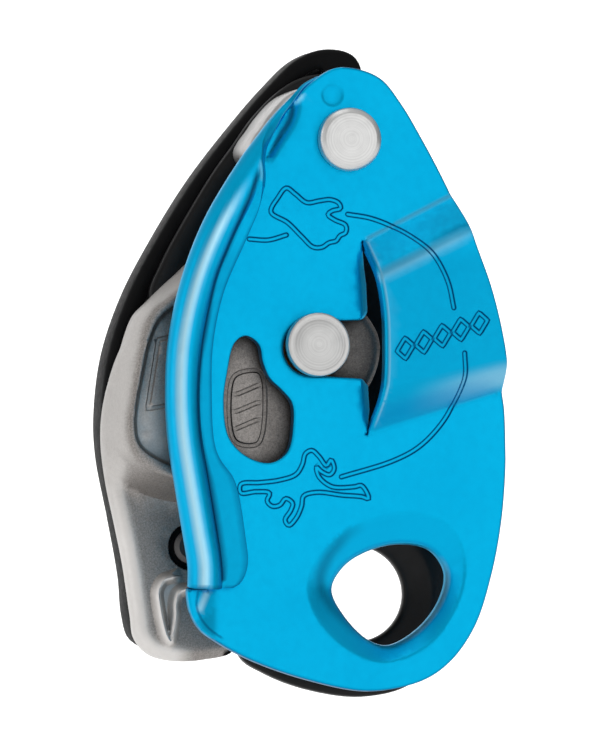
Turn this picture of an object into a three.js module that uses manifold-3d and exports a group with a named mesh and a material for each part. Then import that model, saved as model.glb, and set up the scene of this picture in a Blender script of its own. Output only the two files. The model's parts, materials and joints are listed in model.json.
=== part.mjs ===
// An assisted-braking belay device for single ropes of 8.5 to 11 mm, as an assembly of its separate pieces.
//
// Frame: millimetres, +Z up, +X to the right and +Y to the back, seen from the side of the moving plate.
// The origin is the centre of the front face of the cam axle's head. The pieces are drawn with their depths measured
// from the middle of the rope channel, and the whole device is moved back onto that origin at the end.
import * as THREE from "three";
import { mergeVertices } from "three/addons/utils/BufferGeometryUtils.js";
import Module from "manifold-3d";

const wasm = await Module();
wasm.setup();

// ---------------------------------------------------------------- driving dimensions
const CHANNEL = 13; // gap between the side plates, for ropes up to 11 mm
const SHEET = 2; // moving side plate
const FIXED_SHEET = 2.5; // fixed side plate
const GAP = 0.3; // between pieces that face each other
const RUN = 0.15; // radial clearance of a running fit

const channelFront = -CHANNEL / 2;
const channelBack = CHANNEL / 2;
const plateFront = channelFront - SHEET;
const plateBack = channelBack + FIXED_SHEET;

const PIVOT = [5.1, 31.5]; // moving plate's pivot
const AXLE = [0, 0]; // cam's axle
const HANDLE_PIVOT = [-16.6, -30.4]; // handle's pin, in the cam's arm
const EYE = [10.2, -37.2]; // centre of the fixed plate's eye

const HEAD_RADIUS = 4.85; // turned heads of the stud and the axle
const HEAD_HEIGHT = 2.1;
const headFace = plateFront - GAP - HEAD_HEIGHT; // front face of the axle's head
const LOUVER_RISE = 5;
const DISH_DEPTH = 2.5;
const LIP_RADIUS = 2.9; // outer radius of the rolled lip
const LIP_BORE = 0.9;
const FLAP_RISE = 0.6; // the folded flap stands this far above the moving plate
const EYE_RADIUS = 7.3;
const EYE_DISH_RADIUS = 11.2;
const EYE_DISH_DEPTH = 1.6;
const EYE_RIM = 1.2; // flat rim at the back of the eye
const FLARE = 1.2; // how far a shaped insert runs into the sheet round it
const BURIED = 0.2; // and how deep it lies inside that sheet

const camFront = channelFront + 0.5;
const bodyFront = channelFront + 1.5;
const camBack = channelBack - 0.5;
const armFront = channelBack - 1.5;
const HUB_RADIUS = 11.5;
const GROOVE_FLOOR = 9.2; // radius of the cam where the rope runs
const AXLE_RADIUS = 4.2;
const NECK_RADIUS = 3.7; // axle where the moving plate's slot slides over it
const BUSH_RADIUS = 5.2;
const SPRING_POCKET = { inner: 5.8, outer: 9.2, front: 2.4 };

const handleFront = plateBack + 0.5;
const HANDLE_DEPTH = 8.5;
const handleBack = handleFront + HANDLE_DEPTH;
const SPINE = 2.8; // wall of the handle along its outer edge
const WEB = 2.4; // rear wall of the handle
const PIN_RADIUS = 2;
const HANDLE_BUSH_RADIUS = 3;

// ---------------------------------------------------------------- outlines, as [x, z] points seen from the front
// Right-hand side, foot and heel of the moving plate, from the top down.
const plateSide = [
  [5.1, 42.6], [11, 40.7], [15.2, 34.6], [20.1, 25.5], [25.3, 16.3], [28.2, 5.5], [29.6, -6], [30, -17.5],
  [28.9, -29.5], [26.5, -38.8], [23, -46], [17, -50.8], [9, -52.4], [-0.9, -51], [-9.8, -47.8], [-15.7, -44.7],
  [-19, -41.3],
];
// The edge that carries the rolled lip, from the bottom up.
const lipEdge = [
  [-20, -36.8], [-21.2, -26.4], [-22.8, -17.3], [-23.6, -6.6], [-23.1, 1.1], [-21.1, 10.2], [-17.5, 19.4],
  [-12, 28.5], [-7.3, 34.7],
];
const plateShoulder = [[-2.7, 39.4], [1, 41.8]];
const flapEdge = [
  [-12.1, 20.5], [-14.2, 8.2], [-15.9, 0.2], [-16.1, -7.9], [-15.8, -15.1], [-14.5, -17.9], [-12.9, -19.8],
  [-12.1, -22], [-10.4, -31.2], [-11.2, -35.8], [-14.1, -37],
];
const kidney = [
  [-10.3, 1.6], [-12.4, 0.4], [-13.6, -4.3], [-13.7, -10], [-12.2, -14.8], [-6.6, -17.7], [-4, -16.2], [-3.1, -9.6],
  [-5.5, -6.1], [-7.9, -1.1],
];
const eyeHole = [
  [3.6, -37], [6, -33.2], [10.2, -30.7], [14.5, -29.7], [19, -30.9], [21.4, -35.2], [19.7, -40.2], [15.6, -44.5],
  [12.4, -45.8], [9, -44.5], [5.2, -40.7],
];
const dishEdge = [
  [-1.1, -36.8], [1.2, -32], [6.2, -27.7], [14.1, -25.2], [20.6, -27], [24, -32.6], [23, -39], [18.4, -45.4],
  [11.1, -48.2], [5.1, -45.7], [0.6, -41.2],
];
// The louver over the axle's way out: the sheet leaves the plate at the creases and is flat between the shoulders.
const louverCreases = { upper: [[7.9, 16.3], [26.5, 24.8]], lower: [[8.6, -13], [34, -5.6]] };
const louverShoulders = { upper: [[10.2, 11.8], [30, 21.5]], lower: [[10.2, -7.2], [34, -1.1]] };

const fixedEdge = [
  [5.1, 42.6], [11, 40.7], [15.2, 34.6], [20.1, 25.5], [25.3, 16.3], [28.2, 5.5], [29.6, -6], [30, -17.5],
  [28.9, -29.5], [26.5, -38.8], [23, -46], [17, -51], [10.5, -52.5], [1.5, -51.1], [-5, -48.7], [-8.6, -46],
  [-8.9, -40], [-9.9, -30], [-11.9, -20], [-14.4, -10], [-17.4, -2], [-21.3, 4.6], [-22.9, 8.3], [-21.2, 12.8],
  [-18.2, 18.1], [-12.8, 27], [-8.7, 32], [-6.6, 35.6], [-2.7, 39.6], [1, 41.9],
];
// Cam: the block in the rope channel, and the arm that passes the fixed plate and carries the handle.
const camBlock = [
  [-1, 11.6], [-9, 13.4], [-15.2, 14.6], [-19.3, 10.8], [-23.6, 6.7], [-25.7, 3.2], [-27.3, -4], [-28.8, -11],
  [-28.4, -15], [-25.6, -18.7], [-20, -20.5], [-12, -20.8], [-5, -19.4], [1, -14.5], [5.5, -9],
];
const camPanel = [
  [-19, 6.9], [-21.4, 6], [-23.7, 3.9], [-25.3, -0.4], [-27.3, -10.6], [-26.7, -14.8], [-24.2, -17.1],
  [-19.5, -18.5], [-16.4, -17], [-15.6, -6], [-16, 4],
];
const camArm = [
  [-26.5, 0.8], [-24.6, 1], [-22.4, -1.8], [-17.9, -7.8], [-15.3, -13], [-12.9, -20], [-10.9, -30], [-9.9, -40],
  [-9.7, -45.2], [-12.2, -46.9], [-16.1, -47.3], [-20.2, -46.6], [-23.6, -44.4], [-25.3, -40.5], [-26.1, -33],
  [-26.9, -27.2], [-28.9, -20.2], [-29.6, -13.5], [-28.9, -8],
];
const rib = [[-21.4, -35.6], [-20.2, -41.5], [-18.9, -44.2], [-17.9, -41], [-17, -36.6]];
const frictionEdge = [
  [0.6, 39.9], [-3.4, 38.6], [-6.6, 35.2], [-7.5, 33], [-8.8, 31.6], [-9.1, 29.8], [-7.6, 28.2], [-4.5, 28.4],
  [-1.3, 29.6], [-1.4, 33], [-0.4, 36.6],
];
const frictionPocket = [
  [-1.5, 38.2], [-4.6, 36.7], [-6.3, 34], [-7.5, 31.2], [-6.3, 30.2], [-3.3, 30.7], [-2.8, 33.6], [-1.8, 36],
];
const handleSpine = [
  [13.9, 44.5], [12, 46], [8.4, 46.6], [4.6, 46], [1, 43.9], [-4.1, 38.8], [-11.8, 29.7], [-18.2, 20.5],
  [-23.2, 11.3], [-27, 2.2], [-28.6, -7], [-28.6, -13.1], [-27.1, -22.2], [-25.3, -31.4], [-24.4, -39.5],
];
const handleInside = [
  [-22, -43.9], [-17, -45], [-12, -42.6], [-10.3, -36.5], [-11.2, -27], [-13.9, -17], [-15.6, -8], [-15, 2],
  [-11.6, 12], [-5.6, 23], [0.5, 32.5], [6, 39.6], [12.6, 42.6],
];
const coreEdge = [
  [-24.6, 1], [-21.5, 9.5], [-16.4, 18.8], [-12.6, 24.6], [-9.6, 23.4], [-11.2, 16], [-16.2, 6], [-18.6, -4],
  [-18.2, -13], [-13.6, -22.5], [-11.9, -30.4], [-16.6, -35.2], [-21.3, -30.4], [-24, -20], [-25.8, -10],
];

// ---------------------------------------------------------------- geometry helpers
const CIRCLE = 40; // facets of a turned piece

// Points of a smooth closed curve through the outline's own points.
function smoothLoop(points, perPoint = 3) {
  const curve = new THREE.CatmullRomCurve3(
    points.map(([x, z]) => new THREE.Vector3(x, z, 0)),
    true,
    "centripetal",
  );
  const count = points.length * perPoint;
  return Array.from({ length: count }, (_, i) => {
    const p = curve.getPoint(i / count);
    return new THREE.Vector2(p.x, p.y);
  });
}

// Points of a smooth open curve, evenly spaced.
function smoothPath(points, count) {
  const curve = new THREE.SplineCurve(points.map(([x, z]) => new THREE.Vector2(x, z)));
  return curve.getSpacedPoints(count);
}

function solid(geometry) {
  const bare = geometry.index ? geometry.toNonIndexed() : geometry.clone();
  bare.deleteAttribute("normal");
  bare.deleteAttribute("uv");
  const merged = mergeVertices(bare, 1e-4);
  return new wasm.Manifold(
    new wasm.Mesh({
      numProp: 3,
      vertProperties: merged.attributes.position.array,
      triVerts: new Uint32Array(merged.index.array),
    }),
  );
}

function geometryOf(manifold) {
  const mesh = manifold.getMesh();
  const geometry = new THREE.BufferGeometry();
  geometry.setAttribute("position", new THREE.BufferAttribute(mesh.vertProperties, 3));
  geometry.setIndex(new THREE.BufferAttribute(mesh.triVerts, 1));
  geometry.computeVertexNormals();
  return geometry;
}

// A flat-faced solid of an outline in the plane of the plates, between two depths.
function slab(outline, front, back) {
  const geometry = new THREE.ExtrudeGeometry(new THREE.Shape(outline), {
    depth: back - front,
    bevelEnabled: false,
    steps: 1,
  });
  geometry.rotateX(Math.PI / 2);
  geometry.translate(0, back, 0);
  return solid(geometry);
}

// A solid turned about an axis along Y, through [x, z]. The profile is [radius, y] points, from front to back.
function turned([x, z], profile, facets = CIRCLE) {
  const geometry = new THREE.LatheGeometry(
    profile.map(([r, y]) => new THREE.Vector2(r, y)),
    facets,
  );
  geometry.translate(x, 0, z);
  return solid(geometry);
}

function disc(centre, radius, front, back, facets = CIRCLE) {
  return turned(centre, [[0, front], [radius, front], [radius, back], [0, back]], facets);
}

function ring(centre, inner, outer, front, back, facets = CIRCLE) {
  const profile = [[inner, front], [outer, front], [outer, back], [inner, back], [inner, front]];
  return turned(centre, profile, facets);
}

// A solid skinned over rows of points. Each row is a ring of [x, y, z] with an even count: its second half runs back
// beside its first, and the end rows are capped across it. With closed set, the last row joins the first instead.
function skinned(rows, closed = false) {
  const width = rows[0].length;
  const positions = rows.flat(2);
  const triangles = [];
  const at = (row, i) => (row % rows.length) * width + (i % width);
  const last = closed ? rows.length : rows.length - 1;
  for (let r = 0; r < last; r++)
    for (let i = 0; i < width; i++)
      triangles.push(at(r, i), at(r, i + 1), at(r + 1, i + 1), at(r, i), at(r + 1, i + 1), at(r + 1, i));
  if (!closed)
    for (let i = 0; i < width / 2 - 1; i++) {
      const end = rows.length - 1;
      const j = width - 1 - i;
      triangles.push(at(0, i), at(0, j - 1), at(0, i + 1), at(0, i), at(0, j), at(0, j - 1));
      triangles.push(at(end, i), at(end, i + 1), at(end, j - 1), at(end, i), at(end, j - 1), at(end, j));
    }
  const geometry = new THREE.BufferGeometry();
  geometry.setAttribute("position", new THREE.Float32BufferAttribute(positions, 3));
  geometry.setIndex(triangles);
  const made = solid(geometry);
  if (made.volume() > 0) return made;
  geometry.setIndex(triangles.reverse());
  return solid(geometry);
}

const mix = (a, b, t) => a.map((v, i) => v + (b[i] - v) * t);

// ---------------------------------------------------------------- moving side plate
// The sheet round the eye, pressed towards the rope channel.
function dish() {
  const outer = smoothLoop(dishEdge, 4);
  const inner = smoothLoop(eyeHole, 4);
  const steps = [[-FLARE / 9, 0], [0, 0], [0.35, 0.3], [0.7, 0.85], [1, 1]];
  const rows = outer.map((o, i) => {
    const front = steps.map(([across, down]) => {
      const p = mix([o.x, o.y], [inner[i].x, inner[i].y], across);
      return [p[0], plateFront + DISH_DEPTH * down, p[1]];
    });
    const back = front.map(([x, y, z]) => [x, y + SHEET, z]).reverse();
    return [...front, ...back];
  });
  return skinned(rows, true);
}

// The raised channel that lets the axle's head out as the plate swings open. It is open at both ends.
function louver() {
  const sections = [0, 0.08, 0.5, 1].map((t) => {
    const upper = mix(...louverCreases.upper, t);
    const lower = mix(...louverCreases.lower, t);
    const upperShoulder = mix(...louverShoulders.upper, t);
    const lowerShoulder = mix(...louverShoulders.lower, t);
    const top = plateFront - LOUVER_RISE;
    return [
      [upper[0], plateFront + BURIED, upper[1] + FLARE],
      [upper[0], plateFront, upper[1]],
      [upperShoulder[0], top, upperShoulder[1]],
      [lowerShoulder[0], top, lowerShoulder[1]],
      [lower[0], plateFront, lower[1]],
      [lower[0], plateFront + BURIED, lower[1] - FLARE],
      [lower[0], channelFront - BURIED, lower[1] - FLARE],
      [lower[0], channelFront, lower[1]],
      [lowerShoulder[0], top + SHEET, lowerShoulder[1] + 0.4],
      [upperShoulder[0], top + SHEET, upperShoulder[1] - 0.4],
      [upper[0], channelFront, upper[1]],
      [upper[0], channelFront - BURIED, upper[1] + FLARE],
    ];
  });
  return skinned(sections);
}

// The rolled lip: a round bead along the left edge, with a bore, and the flap that ends the fold.
function rolledLip() {
  const path = smoothPath(lipEdge, 20);
  const centreY = channelFront - LIP_RADIUS;
  const bead = (radius, facets) =>
    path.map((p, i) => {
      const ahead = path[Math.min(i + 1, path.length - 1)];
      const behind = path[Math.max(i - 1, 0)];
      const along = ahead.clone().sub(behind).normalize();
      const inward = [along.y, -along.x];
      return Array.from({ length: facets }, (_, k) => {
        const angle = (2 * Math.PI * k) / facets;
        const across = LIP_RADIUS + radius * Math.cos(angle);
        return [p.x + inward[0] * across, centreY + radius * Math.sin(angle), p.y + inward[1] * across];
      });
    });
  const flapOutline = [
    ...smoothPath(lipEdge.slice(0, 7), 14).map((p) => new THREE.Vector2(p.x + 1.5, p.y)),
    ...smoothPath(flapEdge, 20),
  ];
  const flap = slab(flapOutline, plateFront - FLAP_RISE, plateFront + 0.2);
  return { bead: skinned(bead(LIP_RADIUS, 14)).add(flap), bore: skinned(bead(LIP_BORE, 8)) };
}

function movingSidePlate() {
  const inset = lipEdge.map(([x, z]) => [x + LIP_RADIUS, z]);
  const outline = smoothLoop([...plateSide, ...inset, ...plateShoulder], 3);
  const trim = slab(smoothLoop([...plateSide, ...lipEdge, ...plateShoulder], 3), plateFront - 9, channelBack);
  const [upperLeft, upperRight] = louverCreases.upper;
  const [lowerLeft, lowerRight] = louverCreases.lower;
  const louverHole = [upperLeft, upperRight, lowerRight, lowerLeft].map(([x, z]) => new THREE.Vector2(x, z));
  const slotHalf = NECK_RADIUS + 0.5;
  const slot = [[0, -slotHalf], [9, -slotHalf], [9, slotHalf], [0, slotHalf]].map(
    ([x, z]) => new THREE.Vector2(x, z - 0.2),
  );
  const through = (outlinePoints) => slab(outlinePoints, plateFront - 1, channelFront + 1);
  const lip = rolledLip();
  return slab(outline, plateFront, channelFront)
    .subtract(through(louverHole))
    .subtract(through(smoothLoop(dishEdge, 4)))
    .add(louver().intersect(trim))
    .add(dish())
    .add(lip.bead)
    .subtract(lip.bore)
    .subtract(through(smoothLoop(kidney, 3)))
    .subtract(through(slot))
    .subtract(disc([0, -0.2], slotHalf, plateFront - 1, channelFront + 1, 24))
    .subtract(disc(PIVOT, 3.5 + RUN, plateFront - 1, channelFront + 1));
}

// ---------------------------------------------------------------- fixed side plate and friction plate
const rivetHoles = { upper: [-3.4, 36], lower: [-5.1, 32.4] };
const RIVET_RADIUS = 0.8;

function fixedSidePlate() {
  const face = channelBack;
  const cone = [
    [EYE_RADIUS, face + EYE_DISH_DEPTH],
    [EYE_DISH_RADIUS, face],
    [EYE_DISH_RADIUS + FLARE, face],
    [EYE_DISH_RADIUS + FLARE, plateBack],
    [EYE_DISH_RADIUS, plateBack],
    [EYE_RADIUS + EYE_RIM, plateBack + EYE_DISH_DEPTH],
    [EYE_RADIUS, plateBack + EYE_DISH_DEPTH],
    [EYE_RADIUS, face + EYE_DISH_DEPTH],
  ];
  return slab(smoothLoop(fixedEdge, 3), face, plateBack)
    .subtract(disc(EYE, EYE_DISH_RADIUS, face - 1, plateBack + 1))
    .add(turned(EYE, cone))
    .subtract(disc(PIVOT, 3, face - 1, plateBack + 1))
    .subtract(disc(AXLE, 3.5, face - 1, plateBack + 1))
    .subtract(disc(springPeg, PEG_RADIUS, face - 1, plateBack + 1, 16))
    .subtract(disc(rivetHoles.upper, RIVET_RADIUS, face - 1, plateBack + 1, 16))
    .subtract(disc(rivetHoles.lower, RIVET_RADIUS, face - 1, plateBack + 1, 16));
}

// A pressed steel cup: its outer wall is the surface that the brake strand is pinched against.
function frictionPlate() {
  const back = channelBack - 0.02;
  return slab(smoothLoop(frictionEdge, 3), channelFront + GAP, back)
    .subtract(slab(smoothLoop(frictionPocket, 2), channelFront, channelBack - 2))
    .subtract(disc(rivetHoles.upper, RIVET_RADIUS, 0, channelBack + 1, 16))
    .subtract(disc(rivetHoles.lower, RIVET_RADIUS, 0, channelBack + 1, 16));
}

// A flush rivet: a low head in the friction plate's cup, and its tail level with the fixed plate's back.
function frictionRivet(centre) {
  const seat = channelBack - 2;
  const shank = RIVET_RADIUS - 0.05;
  const profile = [
    [0, seat - 0.8], [1.1, seat - 0.8], [1.1, seat - 0.02],
    [shank, seat - 0.02], [shank, plateBack], [0, plateBack],
  ];
  return turned(centre, profile, 16);
}

// ---------------------------------------------------------------- plate pivot
function pivotStud() {
  const headFront = plateFront - HEAD_HEIGHT - 0.05;
  const seat = plateFront - 0.05;
  return turned(PIVOT, [
    [0, headFront], [HEAD_RADIUS - 1.5, headFront], [HEAD_RADIUS - 0.3, headFront + 0.3],
    [HEAD_RADIUS, headFront + 0.7], [HEAD_RADIUS, seat], [3.5, seat], [3.5, channelBack - 0.05],
    [2.95, channelBack - 0.05], [2.95, plateBack + 0.25], [0, plateBack + 0.25],
  ]);
}
const WASHER = 0.5;
const pivotWasher = () => ring(PIVOT, 3.6, 5.5, channelFront + 0.02, channelFront + WASHER);
const pivotSpacer = () => ring(PIVOT, 3.6, 5.4, channelFront + WASHER + 0.03, channelBack - 0.05);

// ---------------------------------------------------------------- cam axle and what runs on it
function camAxle() {
  return turned(AXLE, [
    [0, headFace], [HEAD_RADIUS - 0.25, headFace], [HEAD_RADIUS, headFace + 0.25],
    [HEAD_RADIUS, plateFront - GAP], [NECK_RADIUS, plateFront - GAP], [NECK_RADIUS, channelFront + 0.2],
    [AXLE_RADIUS, channelFront + 0.2], [AXLE_RADIUS, channelBack - 0.05], [3.4, channelBack - 0.05],
    [3.4, plateBack + WASHER + 0.1], [4.3, plateBack + WASHER + 0.1], [4.1, plateBack + 1.6], [0, plateBack + 1.9],
  ]);
}
const axleWasher = () => ring(AXLE, 3.5, 5.6, plateBack + 0.03, plateBack + WASHER);
const camBush = () => ring(AXLE, AXLE_RADIUS + RUN, BUSH_RADIUS, camFront + 0.1, camBack - 0.1);
const camThrustWasher = () => ring(AXLE, AXLE_RADIUS + RUN, 5.7, camBack + 0.05, channelBack - 0.05);

// ---------------------------------------------------------------- springs
const SPRING_WIRE = 0.55; // wire radius of the cam's spring
const springPeg = [7.5 * Math.cos(0.5), 7.5 * Math.sin(0.5)]; // anchor peg in the fixed plate
const PEG_RADIUS = 0.8;

// A coil about Y, open at both ends, as a swept round wire.
function coil([x, z], radius, wire, turns, front, back, phase) {
  class Helix extends THREE.Curve {
    getPoint(t, target = new THREE.Vector3()) {
      const angle = phase + 2 * Math.PI * turns * t;
      return target.set(x + radius * Math.cos(angle), front + (back - front) * t, z + radius * Math.sin(angle));
    }
  }
  const section = new THREE.Shape();
  section.absarc(0, 0, wire, 0, 2 * Math.PI);
  return solid(
    new THREE.ExtrudeGeometry(section, {
      steps: Math.round(turns * 18),
      curveSegments: 3,
      extrudePath: new Helix(),
    }),
  );
}

const camSpring = () => coil(AXLE, 7.4, SPRING_WIRE, 2.1, SPRING_POCKET.front + 0.8, channelBack - 0.75, 1);
const springAnchorPeg = () => disc(springPeg, PEG_RADIUS - 0.05, channelBack - 0.1, plateBack, 16);

// ---------------------------------------------------------------- cam
function cam() {
  const groove = turned(AXLE, [
    [GROOVE_FLOOR, -2.5], [HUB_RADIUS + 6, -4.4], [HUB_RADIUS + 6, 4.4], [GROOVE_FLOOR, 2.5], [GROOVE_FLOOR, -2.5],
  ]);
  const ropeSide = [[-2, 40], [-2, 8], [3, 0], [5, -8], [12, -22], [40, -22], [40, 40]];
  const ropeSideSlab = slab(ropeSide.map(([x, z]) => new THREE.Vector2(x, z)).reverse(), -8, 8);
  const ribRows = slab(smoothLoop(rib, 3), armFront - 1.6, armFront + 0.3);
  return disc(AXLE, HUB_RADIUS, camFront, camBack)
    .add(slab(smoothLoop(camBlock, 3), bodyFront, camBack))
    .subtract(groove.intersect(ropeSideSlab))
    .add(slab(smoothLoop(camArm, 3), armFront, plateBack))
    .add(ribRows)
    .subtract(slab(smoothLoop(camPanel, 3), bodyFront - 1, bodyFront + 0.8))
    .subtract(ring(AXLE, SPRING_POCKET.inner, SPRING_POCKET.outer, SPRING_POCKET.front, channelBack))
    .subtract(disc(AXLE, BUSH_RADIUS + 0.03, camFront - 1, camBack + 1))
    .subtract(disc(HANDLE_PIVOT, PIN_RADIUS + 0.05, armFront - 1, plateBack + 1))
    .subtract(disc(HANDLE_PIVOT, 3.2, armFront - 1, armFront + 1.2));
}

// ---------------------------------------------------------------- handle
function handlePin() {
  return turned(HANDLE_PIVOT, [
    [0, armFront - 0.3], [1.9, armFront - 0.3], [2.6, armFront + 0.2], [2.6, armFront + 1.15],
    [PIN_RADIUS, armFront + 1.15], [PIN_RADIUS, handleBack - 1.3], [1.5, handleBack - 1.3],
    [1.5, handleBack - 0.55], [PIN_RADIUS, handleBack - 0.55], [PIN_RADIUS - 0.3, handleBack - 0.15],
    [0, handleBack - 0.15],
  ], 32);
}
const handleBush = () =>
  ring(HANDLE_PIVOT, PIN_RADIUS + RUN, HANDLE_BUSH_RADIUS, handleFront + 0.1, handleBack - 1.5, 32);
const handleSpring = () => coil(HANDLE_PIVOT, 4.6, 0.45, 2.1, handleFront + 0.7, handleFront + 2.6, 2);

// A retaining ring in the pin's groove, open at one side.
function retainingRing() {
  const front = handleBack - 1.2;
  const back = handleBack - 0.65;
  const mouth = [[-0.9, 0], [0.9, 0], [1.4, -6], [-1.4, -6]].map(
    ([x, z]) => new THREE.Vector2(HANDLE_PIVOT[0] + x, HANDLE_PIVOT[1] + z),
  );
  return ring(HANDLE_PIVOT, 1.6, 3.3, front, back, 32).subtract(slab(mouth.reverse(), front - 1, back + 1));
}

const coreRivets = { upper: [-13.8, 18.2], lower: [-21.6, -6] };
const coreFront = handleBack - WEB - 2.1;
const coreBack = handleBack - WEB - 0.1;

function handleCore() {
  return slab(smoothLoop(coreEdge, 3), coreFront, coreBack)
    .subtract(disc(HANDLE_PIVOT, HANDLE_BUSH_RADIUS + 0.05, coreFront - 1, coreBack + 1, 32))
    .subtract(disc(coreRivets.upper, 1.05, coreFront - 1, coreBack + 1, 16))
    .subtract(disc(coreRivets.lower, 1.05, coreFront - 1, coreBack + 1, 16));
}

function coreRivet(centre) {
  const profile = [
    [0, coreFront - 0.7], [1.7, coreFront - 0.7], [1.7, coreFront - 0.02], [1, coreFront - 0.02],
    [1, handleBack - 1], [1.9, handleBack - 1], [1.9, handleBack - 0.3], [0, handleBack - 0.3],
  ];
  return turned(centre, profile, 20);
}

// The moulded grip: a channel with a deep spine along its outer edge, open towards the plates and to the right.
function handleGrip() {
  const outline = smoothLoop([...handleSpine, ...handleInside], 3);
  const spine = smoothPath(handleSpine, 24);
  const inner = spine.map((p, i) => {
    const ahead = spine[Math.min(i + 1, spine.length - 1)];
    const behind = spine[Math.max(i - 1, 0)];
    const along = ahead.clone().sub(behind).normalize();
    return new THREE.Vector2(p.x - along.y * SPINE, p.y + along.x * SPINE);
  });
  const hollowFrom = inner.slice(3, -4);
  const hollow = [...hollowFrom, ...[[-9, -22], [0, -10], [4, 20], [14, 38]].map(([x, z]) => new THREE.Vector2(x, z))];
  const boss = disc(HANDLE_PIVOT, 6, handleFront, handleBack, 32);
  return slab(outline, handleFront, handleBack)
    .subtract(slab(hollow.reverse(), handleFront - 1, handleBack - WEB))
    .subtract(slab(smoothLoop(coreEdge, 3), coreFront - 0.1, handleBack - WEB))
    .add(boss.subtract(slab(smoothLoop(coreEdge, 3), coreFront - 0.1, handleBack - WEB)))
    .subtract(disc(HANDLE_PIVOT, HANDLE_BUSH_RADIUS + 0.04, handleFront - 1, handleBack + 1, 32))
    .subtract(disc(HANDLE_PIVOT, 4, handleBack - 1.4, handleBack + 1, 32))
    .subtract(ring(HANDLE_PIVOT, 3.6, 5.4, handleFront - 1, handleFront + 3.4, 32))
    .subtract(disc(coreRivets.upper, 1.05, coreBack - 1, handleBack + 1, 20))
    .subtract(disc(coreRivets.lower, 1.05, coreBack - 1, handleBack + 1, 20))
    .subtract(disc(coreRivets.upper, 1.95, handleBack - 1.05, handleBack + 1, 20))
    .subtract(disc(coreRivets.lower, 1.95, handleBack - 1.05, handleBack + 1, 20));
}

// ---------------------------------------------------------------- assembly
const finish = (color, roughness, metalness) => new THREE.MeshStandardMaterial({ color, roughness, metalness });
const anodised = finish(0x00a8dc, 0.32, 0.85);
const blackPlate = finish(0x161719, 0.35, 0.5);
const castSteel = finish(0x8c8b88, 0.55, 0.9);
const turnedSteel = finish(0xcfcfcd, 0.3, 1);
const springSteel = finish(0x6f7174, 0.35, 1);
const bronze = finish(0xb08d57, 0.4, 0.9);
const nylon = finish(0x26272a, 0.6, 0);

const device = new THREE.Group();

function add(group, name, manifold, material) {
  const mesh = new THREE.Mesh(geometryOf(manifold), material);
  mesh.name = name;
  group.add(mesh);
}

const frameGroup = new THREE.Group();
add(frameGroup, "fixed_side_plate", fixedSidePlate(), blackPlate);
add(frameGroup, "friction_plate", frictionPlate(), turnedSteel);
add(frameGroup, "friction_rivet_upper", frictionRivet(rivetHoles.upper), turnedSteel);
add(frameGroup, "friction_rivet_lower", frictionRivet(rivetHoles.lower), turnedSteel);
add(frameGroup, "plate_pivot_stud", pivotStud(), turnedSteel);
add(frameGroup, "pivot_washer", pivotWasher(), turnedSteel);
add(frameGroup, "pivot_spacer", pivotSpacer(), turnedSteel);
add(frameGroup, "cam_axle", camAxle(), turnedSteel);
add(frameGroup, "axle_rear_washer", axleWasher(), turnedSteel);
add(frameGroup, "cam_thrust_washer", camThrustWasher(), bronze);
add(frameGroup, "cam_return_spring", camSpring(), springSteel);
add(frameGroup, "spring_anchor_peg", springAnchorPeg(), turnedSteel);

const plateGroup = new THREE.Group();
add(plateGroup, "moving_side_plate", movingSidePlate(), anodised);

const camGroup = new THREE.Group();
add(camGroup, "cam", cam(), castSteel);
add(camGroup, "cam_bush", camBush(), bronze);
add(camGroup, "handle_pivot_pin", handlePin(), turnedSteel);
add(camGroup, "handle_return_spring", handleSpring(), springSteel);
add(camGroup, "handle_retaining_ring", retainingRing(), springSteel);

const handleGroup = new THREE.Group();
add(handleGroup, "handle_grip", handleGrip(), nylon);
add(handleGroup, "handle_core", handleCore(), turnedSteel);
add(handleGroup, "handle_bush", handleBush(), bronze);
add(handleGroup, "core_rivet_upper", coreRivet(coreRivets.upper), turnedSteel);
add(handleGroup, "core_rivet_lower", coreRivet(coreRivets.lower), turnedSteel);

camGroup.add(handleGroup);
device.add(frameGroup, plateGroup, camGroup);
device.position.y = -headFace;

export default device;
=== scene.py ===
"""Looks of the belay device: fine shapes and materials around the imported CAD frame."""

import json
import math

import bmesh
import bpy
import numpy as np
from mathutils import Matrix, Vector
from mathutils.geometry import delaunay_2d_cdt


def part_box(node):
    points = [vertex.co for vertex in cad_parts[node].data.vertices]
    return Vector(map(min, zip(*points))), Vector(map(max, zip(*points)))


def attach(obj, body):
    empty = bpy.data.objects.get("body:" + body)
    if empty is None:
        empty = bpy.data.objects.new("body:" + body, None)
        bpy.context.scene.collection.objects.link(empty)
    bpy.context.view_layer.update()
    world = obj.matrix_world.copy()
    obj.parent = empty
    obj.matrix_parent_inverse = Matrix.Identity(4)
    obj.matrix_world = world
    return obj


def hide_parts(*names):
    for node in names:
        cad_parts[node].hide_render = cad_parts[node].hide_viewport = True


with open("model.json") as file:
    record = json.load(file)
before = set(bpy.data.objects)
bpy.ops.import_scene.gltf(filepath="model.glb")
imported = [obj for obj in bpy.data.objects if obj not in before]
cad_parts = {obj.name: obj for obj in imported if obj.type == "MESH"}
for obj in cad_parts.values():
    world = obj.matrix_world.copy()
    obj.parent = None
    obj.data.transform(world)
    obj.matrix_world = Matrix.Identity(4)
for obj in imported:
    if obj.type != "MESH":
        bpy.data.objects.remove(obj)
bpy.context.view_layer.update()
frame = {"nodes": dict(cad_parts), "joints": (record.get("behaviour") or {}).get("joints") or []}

MM = 0.001
TINY = 1e-12
CHUNK = 4000

# ------------ places taken from the frame, in millimetres
joints = {j["name"]: j for j in frame["joints"]}


def joint_place(name):
    pos = joints[name]["pos_m"]
    return np.array([pos[0] / MM, pos[2] / MM])


def depth_range(node):
    low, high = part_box(node)
    return low.y / MM, high.y / MM


def plan_centre(node):
    low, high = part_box(node)
    return np.array([(low.x + high.x) / 2 / MM, (low.z + high.z) / 2 / MM])


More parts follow.
